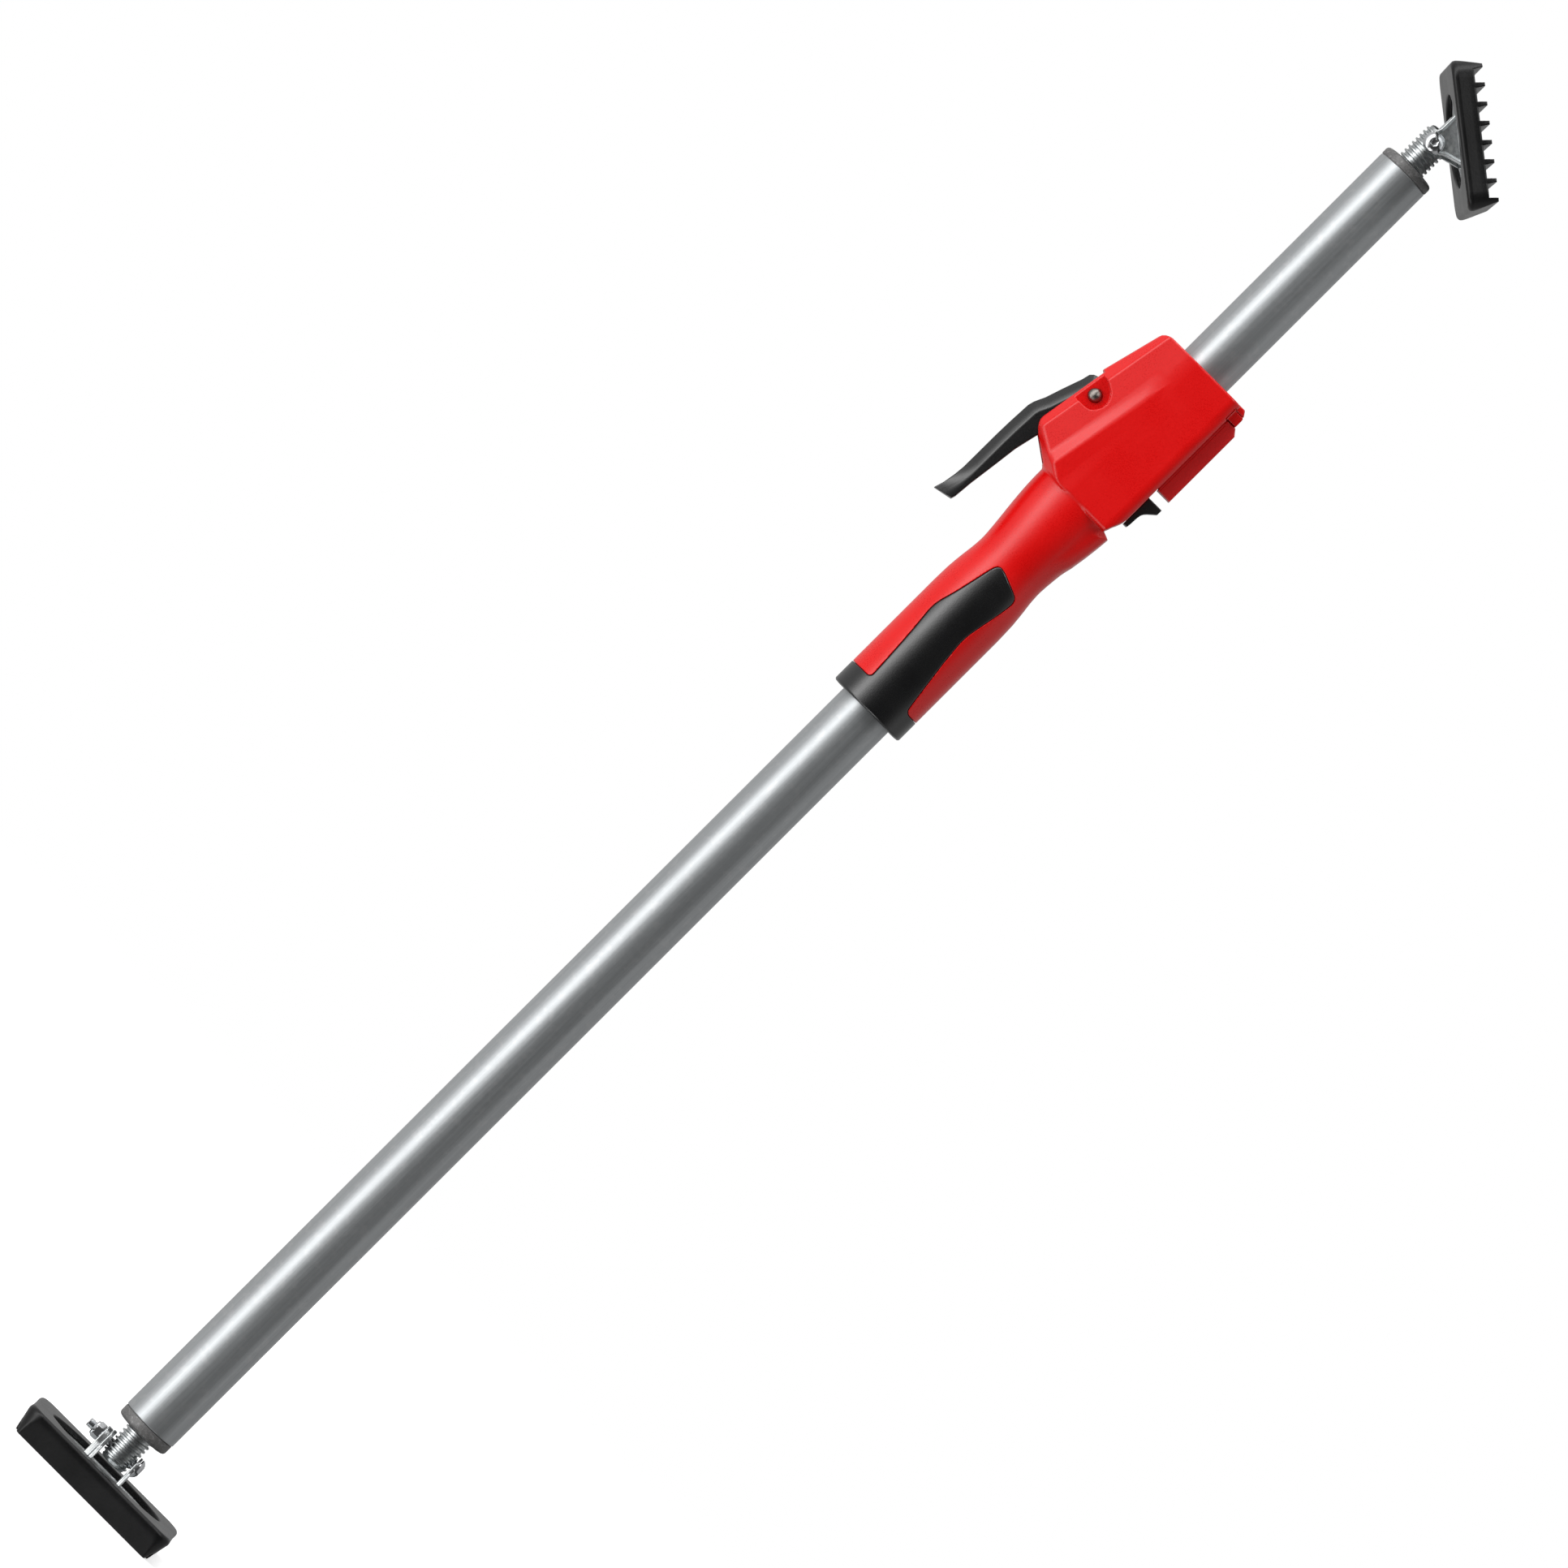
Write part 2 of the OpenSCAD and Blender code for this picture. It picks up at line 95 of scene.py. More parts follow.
def soften(pts, n=2, closed=True, w=0.25):
    """Corner cutting: the same outline with its corners rounded."""
    for _ in range(n):
        out = []
        m = len(pts)
        for i in range(m if closed else m - 1):
            (ax, ay), (bx, by) = pts[i], pts[(i + 1) % m]
            k = min(w, 1.2 / max(1e-6, math.hypot(bx - ax, by - ay)))
            out += [(ax + (bx - ax) * k, ay + (by - ay) * k), (bx - (bx - ax) * k, by - (by - ay) * k)]
        pts = out if closed else [pts[0]] + out + [pts[-1]]
    return pts


def line_dist(px, py, pts):
    """Distance to an open line of points."""
    best = None
    for (ax, ay), (bx, by) in zip(pts, pts[1:]):
        ex, ey = bx - ax, by - ay
        t = np.clip(((px - ax) * ex + (py - ay) * ey) / (ex * ex + ey * ey), 0, 1)
        d = (px - ax - ex * t) ** 2 + (py - ay - ey * t) ** 2
        best = d if best is None else np.minimum(best, d)
    return np.sqrt(best)


def slab(v, lo, hi):
    return np.maximum(lo - v, v - hi)


def box3(x, y, z, lo, hi, r=0.0):
    return rmax(rmax(slab(x, lo[0], hi[0]), slab(y, lo[1], hi[1]), r), slab(z, lo[2], hi[2]), r)


def ellipse(x, y, a, b):
    k0 = np.sqrt((x / a) ** 2 + (y / b) ** 2)
    k1 = np.sqrt((x / a ** 2) ** 2 + (y / b ** 2) ** 2) + 1e-9
    return k0 * (k0 - 1) / k1


def smooth(e0, e1, v):
    t = np.clip((v - e0) / (e1 - e0), 0, 1)
    return t * t * (3 - 2 * t)


POOL = ThreadPoolExecutor(4)


def axis(*parts):
    """Grid lines from (start, end, step) stretches that follow one another."""
    out = []
    for a, b, h in parts:
        n = max(1, int(round((b - a) / h)))
        out += list(a + (b - a) * np.arange(n) / n)
    return np.array(out + [parts[-1][1]], float)


def at(f, P):
    """f at a column of points."""
    cuts = np.array_split(P, max(1, len(P) // 40000 + 1))
    return np.concatenate(list(POOL.map(lambda p: f(p[:, 0], p[:, 1], p[:, 2]), cuts)))


def slope(f, P, e, v=None):
    """Gradient of f at points: one-sided if the value is given, else centred."""
    g = np.empty_like(P)
    for k in range(3):
        d = np.zeros(3)
        d[k] = e
        g[:, k] = (at(f, P + d) - v) / e if v is not None else (at(f, P + d) - at(f, P - d)) / (2 * e)
    return g


def net(f, lo, hi, h):
    """The surface of f as quads with normals: (points, quads, normals), in millimetres.
    h is a cell size, or three arrays of grid lines. Each cell's point is set where the planes
    through its crossings meet, so that edges stay true."""
    if isinstance(h, (tuple, list)) and hasattr(h[0], "__len__"):
        ax = h
    else:
        h = h if hasattr(h, "__len__") else (h, h, h)
        ax = [axis((lo[i] - 1.5 * h[i], hi[i] + 1.5 * h[i], h[i])) for i in range(3)]
    n = np.array([len(v) for v in ax])
    V = np.empty(tuple(n), np.float32)
    step = max(1, int(6e5 / (n[1] * n[2])))

    def fill(i):
        V[i:i + step] = f(ax[0][i:i + step, None, None], ax[1][None, :, None], ax[2][None, None, :])
    list(POOL.map(fill, range(0, n[0], step)))
    S = V < 0
    cells = tuple(n - 1)
    quads, C = [], []
    for a in range(3):
        s0, s1 = [slice(None)] * 3, [slice(None)] * 3
        s0[a], s1[a] = slice(0, -1), slice(1, None)
        s0, s1 = tuple(s0), tuple(s1)
        idx = np.argwhere(S[s0] != S[s1])
        b, c = [i for i in range(3) if i != a]
        ok = (idx[:, b] > 0) & (idx[:, b] < n[b] - 1) & (idx[:, c] > 0) & (idx[:, c] < n[c] - 1)
        idx = idx[ok]
        va, vb = V[s0][tuple(idx.T)].astype(float), V[s1][tuple(idx.T)].astype(float)
        p = np.stack([ax[k][idx[:, k]] for k in range(3)], 1)
        p[:, a] += (ax[a][idx[:, a] + 1] - ax[a][idx[:, a]]) * va / (va - vb)
        q = []
        for db, dc in ((-1, -1), (0, -1), (0, 0), (-1, 0)):
            ci = idx.copy()
            ci[:, b] += db
            ci[:, c] += dc
            q.append(np.ravel_multi_index(ci.T, cells))
        q = np.stack(q, 1)
        rev = (va < 0) if a == 1 else (va >= 0)
        q[rev] = q[rev][:, ::-1]
        quads.append(q)
        C.append(p)
    quads, C = np.concatenate(quads), np.concatenate(C)
    ids, inv = np.unique(quads.ravel(), return_inverse=True)
    inv = inv.ravel()
    v = at(f, C)
    G = slope(f, C, 0.02, v)
    gg = np.maximum((G * G).sum(1), 0.2)
    C = C - G * np.clip(v / gg, -0.2, 0.2)[:, None]
    G /= np.sqrt(gg)[:, None]
    cnt = np.bincount(inv).astype(float)

    def total(w):
        return np.bincount(inv, np.repeat(w, 4))
    mid = np.stack([total(C[:, k]) for k in range(3)], 1) / cnt[:, None]
    A = np.zeros((len(ids), 3, 3))
    B = np.zeros((len(ids), 3))
    reach = np.repeat(C, 4, axis=0) - mid[inv]
    Gr = np.repeat(G, 4, axis=0)
    dist = (Gr * reach).sum(1)
    for i in range(3):
        for j in range(i, 3):
            A[:, i, j] = A[:, j, i] = np.bincount(inv, Gr[:, i] * Gr[:, j])
        B[:, i] = np.bincount(inv, Gr[:, i] * dist)
    A += np.eye(3)[None] * (0.06 * cnt)[:, None, None]
    off = np.linalg.solve(A, B[:, :, None])[:, :, 0]
    cell = np.stack(np.unravel_index(ids, cells), 1)
    P = mid + off
    for k in range(3):
        l, r = ax[k][cell[:, k]], ax[k][cell[:, k] + 1]
        w = (r - l) * 0.1
        P[:, k] = np.clip(P[:, k], l - w, r + w)
    v = at(f, P)
    g = slope(f, P, 0.02, v)
    P -= g * np.clip(v / np.maximum((g * g).sum(1), 0.2), -0.12, 0.12)[:, None]
    g = slope(f, P, 0.16)
    Nn = g / np.maximum(np.linalg.norm(g, axis=1, keepdims=True), 1e-9)
    return P, inv.reshape(-1, 4), Nn


def mesh_from(name, P, faces, N=None, smooth_shade=True):
    P = np.asarray(P, float)
    me = bpy.data.meshes.new(name)
    if isinstance(faces, np.ndarray):
        me.vertices.add(len(P))
        me.vertices.foreach_set("co", (P * MM).ravel())
        me.loops.add(faces.size)
        me.loops.foreach_set("vertex_index", faces.ravel().astype(np.int32))
        me.polygons.add(len(faces))
        me.polygons.foreach_set("loop_start", np.arange(0, faces.size, faces.shape[1], dtype=np.int32))
        me.update(calc_edges=True)
    else:
        me.from_pydata((P * MM).tolist(), [], [list(map(int, q)) for q in faces])
    me.validate(clean_customdata=False)
    me.update()
    if smooth_shade:
        me.shade_smooth()
    if N is not None and len(me.vertices) == len(N):
        me.normals_split_custom_set_from_vertices(np.asarray(N).tolist())
    ob = bpy.data.objects.new(name, me)
    sc.collection.objects.link(ob)
    return ob


def carve(name, f, lo, hi, h):
    P, Q, N = net(f, lo, hi, h)
    return mesh_from(name, P, Q, N)


def rings(name, stations, seg=64, close=True, M=None, sharp=28):
    """A turned piece along +Z. A station is (z, radius) or (z, function of the angle); radius 0 closes the end."""
    P, F = [], []
    prev = None
    ang = [2 * math.pi * k / seg for k in range(seg)]
    for z, r in stations:
        if not callable(r) and r <= 1e-6:
            cur = [len(P)]
            P.append((0, 0, z))
        else:
            cur = list(range(len(P), len(P) + seg))
            for t in ang:
                rr = r(t) if callable(r) else r
                P.append((rr * math.cos(t), rr * math.sin(t), z))
        if prev is not None:
            for k in range(seg):
                m = (k + 1) % seg
                if len(prev) == 1 and len(cur) > 1:
                    F.append((prev[0], cur[m], cur[k]))
                elif len(cur) == 1 and len(prev) > 1:
                    F.append((prev[k], prev[m], cur[0]))
                elif len(cur) > 1:
                    F.append((prev[k], prev[m], cur[m], cur[k]))
        prev = cur
    P = np.array(P, float)
    if M is not None:
        A = np.array(M)
        P = P @ A[:3, :3].T + A[:3, 3]
    ob = mesh_from(name, P, F)
    outward(ob)
    sharpen(ob, sharp)
    return ob


def outward(ob):
    import bmesh
    bm = bmesh.new()
    bm.from_mesh(ob.data)
    bmesh.ops.recalc_face_normals(bm, faces=bm.faces)
    bm.to_mesh(ob.data)
    bm.free()


def sharpen(ob, angle):
    """Edges over this angle stay crisp; the rest shade smooth."""
    me = ob.data
    me.shade_smooth()
    me.set_sharp_from_angle(angle=math.radians(angle))


def hexr(af, turn=0.0):
    """Radius of a hexagon of that width across flats, at an angle."""
    def r(t):
        a = (t + turn) % (math.pi / 3) - math.pi / 6
        return af / 2 / math.cos(a)
    return r


# ------------------------------------------------------------------ materials
class N:
    """Short forms for building one node tree."""

    def __init__(self, name):
        self.m = bpy.data.materials.new(name)
        self.m.use_nodes = True
        self.t = self.m.node_tree
        self.t.nodes.clear()
        self.out = self.t.nodes.new("ShaderNodeOutputMaterial")
        self.b = self.t.nodes.new("ShaderNodeBsdfPrincipled")
        self.t.links.new(self.b.outputs[0], self.out.inputs[0])
        self.co = self.t.nodes.new("ShaderNodeTexCoord").outputs["Object"]

    def link(self, a, b):
        self.t.links.new(a, b)

    def scale(self, s):
        n = self.t.nodes.new("ShaderNodeMapping")
        n.inputs["Scale"].default_value = s
        self.link(self.co, n.inputs["Vector"])
        return n.outputs[0]

    def noise(self, scale, detail=2.0, rough=0.5, vec=None, distort=0.0):
        n = self.t.nodes.new("ShaderNodeTexNoise")
        n.inputs["Scale"].default_value = scale
        n.inputs["Detail"].default_value = detail
        n.inputs["Roughness"].default_value = rough
        n.inputs["Distortion"].default_value = distort
        self.link(vec if vec is not None else self.co, n.inputs["Vector"])
        return n.outputs["Fac"]

    def cells(self, scale, vec=None, feature="F1"):
        n = self.t.nodes.new("ShaderNodeTexVoronoi")
        n.feature = feature
        n.inputs["Scale"].default_value = scale
        self.link(vec if vec is not None else self.co, n.inputs["Vector"])
        return n.outputs["Distance"]

    def remap(self, v, a, b, c, d):
        n = self.t.nodes.new("ShaderNodeMapRange")
        n.inputs["From Min"].default_value = a
        n.inputs["From Max"].default_value = b
        n.inputs["To Min"].default_value = c
        n.inputs["To Max"].default_value = d
        self.link(v, n.inputs["Value"])
        return n.outputs["Result"]

    def math(self, op, a, b):
        n = self.t.nodes.new("ShaderNodeMath")
        n.operation = op
        for i, v in enumerate((a, b)):
            if isinstance(v, (int, float)):
                n.inputs[i].default_value = v
            else:
                self.link(v, n.inputs[i])
        return n.outputs[0]

    def mix(self, fac, a, b):
        n = self.t.nodes.new("ShaderNodeMix")
        n.data_type = "RGBA"
        if isinstance(fac, (int, float)):
            n.inputs[0].default_value = fac
        else:
            self.link(fac, n.inputs[0])
        for i, v in ((6, a), (7, b)):
            if isinstance(v, tuple):
                n.inputs[i].default_value = (*v, 1)
            else:
                self.link(v, n.inputs[i])
        return n.outputs[2]

    def edges(self, lo, hi):
        g = self.t.nodes.new("ShaderNodeNewGeometry")
        return self.remap(g.outputs["Pointiness"], lo, hi, 0.0, 1.0)

    def bump(self, height, dist, strength=1.0, normal=None):
        n = self.t.nodes.new("ShaderNodeBump")
        n.inputs["Strength"].default_value = strength
        n.inputs["Distance"].default_value = dist
        self.link(height, n.inputs["Height"])
        if normal is not None:
            self.link(normal, n.inputs["Normal"])
        return n.outputs[0]

    def put(self, **kw):
        names = {"color": "Base Color", "rough": "Roughness", "metal": "Metallic", "normal": "Normal",
                 "spec": "Specular IOR Level", "coat": "Coat Weight", "coat_rough": "Coat Roughness",
                 "sheen": "Sheen Weight", "sheen_rough": "Sheen Roughness", "aniso": "Anisotropic"}
        for k, v in kw.items():
            s = self.b.inputs[names[k]]
            if isinstance(v, tuple):
                s.default_value = (*v, 1)
            elif isinstance(v, (int, float)):
                s.default_value = v
            else:
                self.link(v, s)
        return self.m


def moulded(name, col, deep, light, rough, grain, depth, spec=0.5, edge=0.25):
    """Moulded plastic with a spark-eroded grain: cells of about 1/grain metres. Convex edges carry a painted highlight:
    pointiness mixes them toward the lighter colour, by up to edge.
    """
    n = N(name)
    fine = n.noise(grain, 3.0, 0.62)
    cell = n.cells(grain * 0.62)
    height = n.math("ADD", n.math("MULTIPLY", fine, 0.65), n.math("MULTIPLY", cell, 0.5))
    slow = n.noise(55, 3.0, 0.55)
    c = n.mix(n.remap(fine, 0.32, 0.68, 0.0, 1.0), deep, col)
    c = n.mix(n.remap(slow, 0.35, 0.75, 0.0, 0.35), c, light)
    # painted highlight: convex edges, found by pointiness, are mixed toward the lighter colour
    c = n.mix(n.math("MULTIPLY", n.edges(0.53, 0.62), edge), c, light)
    r = n.remap(n.math("ADD", n.math("MULTIPLY", fine, 0.6), n.math("MULTIPLY", slow, 0.4)), 0.3, 0.7, rough - 0.06, rough + 0.06)
    return n.put(color=c, rough=r, normal=n.bump(height, depth, 1.0), spec=spec)


def metal(name, col, dark, rough, stretch=(1, 1, 1), grain=900, depth=0.00002, spots=None, spread=0.07, body=1.0):
    """Metal with a directional grain: stretch is the texture's scale along each axis."""
    n = N(name)
    v = n.scale(stretch)
    line = n.noise(grain, 3.0, 0.6, v)
    slow = n.noise(38, 4.0, 0.6)
    mott = n.noise(420, 2.0, 0.5)
    c = n.mix(n.remap(line, 0.3, 0.7, 0.0, 1.0), dark, col)
    c = n.mix(n.remap(slow, 0.42, 0.72, 0.0, 0.35), c, dark)
    if spots:
        c = n.mix(n.remap(n.noise(spots[0], 2.0, 0.5), 0.55, 0.66, 0.0, spots[2]), c, spots[1])
    r = n.remap(n.math("ADD", n.math("MULTIPLY", line, 0.5), n.math("MULTIPLY", mott, 0.5)), 0.3, 0.7, rough - spread, rough + spread)
    return n.put(color=c, rough=r, metal=body, normal=n.bump(line, depth, 1.0))


MAT = {
    "tube_steel": metal("satin_tube", (0.495, 0.515, 0.525), (0.425, 0.44, 0.45), 0.38, (1, 1, 0.012), 900, 0.000008, (260, (0.54, 0.545, 0.55), 0.4), 0.03, body=0.82),
    "red_housing": moulded("red_grained", (0.80, 0.0014, 0.0012), (0.70, 0.001, 0.001), (0.83, 0.004, 0.003), 0.30, 1250, 0.00002, 0.55),
    "red_button": moulded("red_button_grained", (0.78, 0.010, 0.011), (0.68, 0.007, 0.008), (0.83, 0.018, 0.018), 0.38, 1250, 0.00004, 0.6),
    "soft_grip": moulded("soft_black_rubber", (0.003, 0.003, 0.0033), (0.0015, 0.0015, 0.0018), (0.008, 0.008, 0.0085), 0.25, 1700, 0.000028, 1.0),
    "black_plastic": moulded("black_lever_plastic", (0.004, 0.0038, 0.0042), (0.002, 0.002, 0.0022), (0.014, 0.0135, 0.014), 0.30, 1500, 0.00002, 0.9),
    "pad_pvc": moulded("black_pad_pvc", (0.0042, 0.0042, 0.0045), (0.002, 0.002, 0.0022), (0.014, 0.014, 0.0145), 0.34, 1150, 0.000026, 0.36),
    "bush_plastic": moulded("natural_bush_plastic", (0.70, 0.67, 0.60), (0.62, 0.59, 0.52), (0.76, 0.73, 0.66), 0.45, 900, 0.00002, edge=0.1),
    "zinc_plated": metal("zinc_plate", (0.70, 0.72, 0.72), (0.46, 0.48, 0.49), 0.33, (1, 1, 1), 520, 0.00003, (210, (0.76, 0.78, 0.76), 0.6)),
    "bright_zinc": metal("bright_zinc", (0.78, 0.79, 0.80), (0.60, 0.61, 0.63), 0.17, (1, 1, 1), 700, 0.000012),
    "pin_steel": metal("turned_pin_steel", (0.30, 0.275, 0.25), (0.19, 0.17, 0.155), 0.36, (1, 0.05, 1), 2400, 0.00002),
    "plate_steel": metal("ground_plate_steel", (0.36, 0.36, 0.37), (0.22, 0.22, 0.23), 0.38, (1, 0.02, 1), 1300, 0.00003),
    "spring_steel": metal("drawn_spring_wire", (0.45, 0.45, 0.46), (0.28, 0.28, 0.29), 0.3, (1, 1, 1), 1500, 0.00002),
    "screw_steel": metal("black_zinc_screw", (0.14, 0.14, 0.145), (0.08, 0.08, 0.085), 0.34, (1, 1, 1), 1200, 0.00002),
}


def plug_material():
    """Dark grey grained collar with light specks."""
    n = N("grained_plug")
    g = n.noise(1350, 3.0, 0.65)
    s = n.noise(620, 2.0, 0.5)
    c = n.mix(n.remap(g, 0.34, 0.66, 0.0, 1.0), (0.13, 0.128, 0.127), (0.20, 0.197, 0.195))
    c = n.mix(n.remap(s, 0.54, 0.68, 0.0, 0.7), c, (0.30, 0.298, 0.296))
    r = n.remap(g, 0.3, 0.7, 0.42, 0.58)
    return n.put(color=c, rough=r, metal=0.35, normal=n.bump(g, 0.00006, 1.0))


MAT["plug_metal"] = plug_material()

made = []


def dress(ob, body, slot, *nodes, mat=None):
    ob.data.materials.clear()
    ob.data.materials.append(MAT[mat or slot])
    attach(ob, body)
    if nodes:
        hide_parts(*nodes)
    made.append(ob)
    return ob


# ------------------------------------------------------------------ the shell of grip and housing
HEAD = [(-20.6, 762), (-23.4, 759.6), (-25.7, 758.2), (-26.9, 757.1), (-27.5, 755.6), (-35.1, 726), (-33.9, 725.2), (-39.9, 689.6), (-39.7, 687.8),
        (-38.9, 685.8), (-37.6, 684), (-35.6, 681.8), (-22.1, 672), (-18.66, 669.5), (19.2, 669.5), (21.2, 674.5), (23.8, 681), (25.8, 686), (25.8, 762)]
GRIP_Z = [530, 531, 598, 608, 616, 622, 628, 634, 641, 650, 658, 666, 676]
GRIP_R = [21.2, 21.4, 21.4, 21.1, 20.3, 19.5, 19.1, 19.5, 20.2, 21.2, 21.9, 22.3, 22.3]
TONGUE = [(-9.9, 536), (-9.9, 544.5), (-10.6, 557.5), (-11.6, 572.5), (-12.8, 584.5), (-12.9, 588), (-12.4, 591.5),
          (-9.6, 601.5), (-7.1, 612.5), (-5.1, 621.5), (-3.1, 623.8), (0.4, 623.3), (12.4, 618.5), (13.9, 615.5),
          (12.9, 607.5), (10.9, 597.5), (9.4, 589), (9.3, 584), (10.4, 572.5), (12.4, 557.5), (13.9, 546.5), (15.0, 541), (15.4, 536)]
TONGUE = soften(TONGUE)
WELL = [(-30.6, 723.5), (-28.2, 722.6), (-24.6, 720.2), (-22.7, 717.4), (-22.1, 714.5), (-22.6, 711.6), (-24.2, 708.8),
        (-26.2, 707.1), (-28.6, 706.5), (-37.6, 706.5), (-33.6, 723.5)]
SCREWS = [(-20, 752), (19.6, 752), (-19, 677), (19, 677), (-18.4, 575), (18.4, 575)]


def curve_in(z, zs, vs):
    return np.interp(z, zs, vs)


def smooth_curve(zs, vs):
    """A finer, rounded version of a profile."""
    z = np.linspace(zs[0], zs[-1], 400)
    v = np.interp(z, zs, vs)
    k = np.hanning(25)
    k /= k.sum()
    pad = np.pad(v, 12, mode="edge")
    out = np.convolve(pad, k, mode="valid")
    return z, np.where(z < 540, v, out)


GZ, GR = smooth_curve(GRIP_Z, GRIP_R)


def grip_d(x, y, z):
    """Distance to the grip's skin: round, a little flatter front to back under the housing."""
    r = np.interp(z, GZ, GR)
    flat = 1 - 0.095 * smooth(642, 668, z)
    q = np.sqrt(x * x + (y / flat) ** 2)
    return (q - r) * 0.97


Q = 0.20


def head_d(x, ay, z):
    """The mechanism's housing: a raised front panel with a twisted bevel along its left side, a slanting
    facet beside it, a narrow side band, and a chamfer under them."""
    facet = 20.9 + Q * (x + 8.1)
    face = 21.5 - 0.017 * np.clip(741.8 - z, 0, 80)
    xb = -8.2 - (741.8 - z) * 0.1871
    xa = -13.8 - (739.5 - z) * 0.1895
    fa = 20.9 + Q * (xa + 8.1)
    k = (face - fa) / (xb - xa)
    bevel = (ay - (face - k * (xb - x))) / np.sqrt(1 + k * k)
    panel = rmax(ay - face, bevel, 0.5)
    panel = rmax(panel, (ay - 21.5 + 0.16 * (z - 743.0)) * 0.987, 3.0)
    base = rmax(ay - 20.9 + 0 * x, (ay - facet) * 0.981, 0.8)
    d = rmin(panel, base, 0.35)
    xc = -24.6 - (754.5 - z) * 0.178
    fc = 20.9 + Q * (xc + 8.1)
    side = (ay - (fc - 1.55 * (xc - x))) * 0.542
    d = rmax(d, side, 0.7)
    d = rmax(d, x - 23.8 + 0 * ay, 6.0)
    cham = -0.532 * x + 0.356 * ay - 0.768 * z + 501.28
    d = rmax(d, cham, 1.6)
    d = rmax(d, 671.0 - z + 0 * x, 2.2)
    d = rmax(d, poly(x, z, HEAD), 0.8)
    return rmax(d, z - 759.4 + 0 * x, 1.2)


def lip_d(x, ay, z):
    d = poly(x, z, [(8, 671.0), (19.6, 671.0), (24.0, 669.6), (23.3, 664), (22.0, 656), (20.2, 648), (16, 640), (8, 636)])
    return rmax(d, ay - 13.0, 6.0)


def boss_d(x, ay, z):
    d = poly(x, z, [(18, 750.9), (29.2, 750.9), (29.2, 755.3), (28.6, 757.2), (27.0, 759.6), (26.4, 759.9), (18, 759.9)])
    return rmax(d, ay - 9.0, 0.7)


def ring2(x, z):
    """The soft inlay in side view: collar and tongue with a small fillet between."""
    return rmin(poly(x, z, TONGUE), z - 542.5, 2.2)


def inlay_zone(x, y, z):
    return np.where(np.abs(y) > 6.0, ring2(x, z), z - 542.5 + 0 * x)


def shell_d(x, y, z):
    ay = np.abs(y)
    rr = np.sqrt(x * x + y * y)
    head = head_d(x, ay, z)
    grip = grip_d(x, y, z)
    d = rmin(head, rmax(grip, z - 673 + 0 * x, 0.5), 1.0)
    d = rmin(d, lip_d(x, ay, z), 3.5)
    notch = poly(x, z, [(19.85, 671.1), (21.2, 674.5), (23.8, 681), (28, 690), (28, 668.9), (24.0, 669.7)])
    d = cut(d, notch, 0.3)
    d = rmin(d, boss_d(x, ay, z), 0.6)
    # a groove round the small hinge cover
    rect = np.abs(poly(x, z, [(22.9, 750.0), (31.0, 750.0), (31.0, 756.7), (22.9, 756.7)])) - 0.24
    d = cut(d, np.maximum(rect, -(d + 0.5)), 0.12)
    # bed of the soft inlay
    bed = np.maximum(inlay_zone(x, y, z), -(grip + 1.55))
    d = cut(d, np.maximum(bed, z - 640), 0.35)
    d = np.maximum(d, 532.2 - z)
    # bores for the tubes and bushes
    bore = np.maximum(rr - 15.16, z - 668)
    bore = np.minimum(bore, np.maximum(rr - 16.25, slab(z, 667.5, 682)))
    bore = np.minimum(bore, np.maximum(rr - 15.2, slab(z, 680, 775)))
    bore = np.minimum(bore, np.maximum(rr - 17.05, slab(z, 745.9, 758.1)))
    d = cut(d, bore, 0.35)
    # hollow for the mechanism, 2.8 thick walls, with a floor half way and a boss behind each well
    cav = np.maximum(np.maximum(head + 2.8, slab(z, 684, 744)), np.maximum(ay - 18.5, x - 20.8))
    cav = np.maximum(cav, -slab(z, 718, 720.4))
    cav = np.maximum(cav, -np.maximum(poly(x, z, WELL) - 2.0, 8.8 - ay))
    # the lever's slot, open to the left and down to the grip
    slot = np.maximum(slab(x, -60, -16), np.maximum(ay - 8.8, slab(z, 684, 725.2)))
    slot = np.minimum(slot, np.maximum(slab(x, -60, -23.8), np.maximum(ay - 8.8, slab(z, 650, 686))))
    d = cut(d, np.minimum(cav, slot), 0.4)
    # the button's and the slide's openings, the hinge's gap
    d = cut(d, np.maximum(slab(x, 19.4, 40), np.maximum(ay - 8.4, slab(z, 702.7, 751.0))), 0.3)
    d = cut(d, np.maximum(slab(x, 20, 40), np.maximum(ay - 2.9, slab(z, 684.5, 698.5))), 0.3)
    d = cut(d, np.maximum(slab(x, 22.8, 34), np.maximum(ay - 4.2, slab(z, 748, 758.4))), 0.2)
    # pin bore and the wells round its ends
    pin = np.sqrt((x + 29.1) ** 2 + (z - 714) ** 2)
    d = cut(d, np.maximum(poly(x, z, WELL), 11.7 - ay), 0.5)
    d = cut(d, np.maximum(pin - 3.42, ay - 16), 0.25)
    return d


def holes_d(d, x, y, z):
    """Counterbores and screw holes from the back."""
    for sx, sz in SCREWS:
        s = np.sqrt((x - sx) ** 2 + (z - sz) ** 2)
        big = sz < 600
        d = cut(d, np.maximum(s - (2.82 if big else 3.0), 8.0 - y), 0.12 if big else 0.35)
        d = cut(d, np.maximum(s - 1.55, 9 - y), 0.0)
    return d


def front_d(x, y, z):
    return rmax(shell_d(x, y, z), y + 0.03, 0.22)


def rear_d(x, y, z):
    return rmax(holes_d(shell_d(x, y, z), x, y, z), -y + 0.03, 0.22)


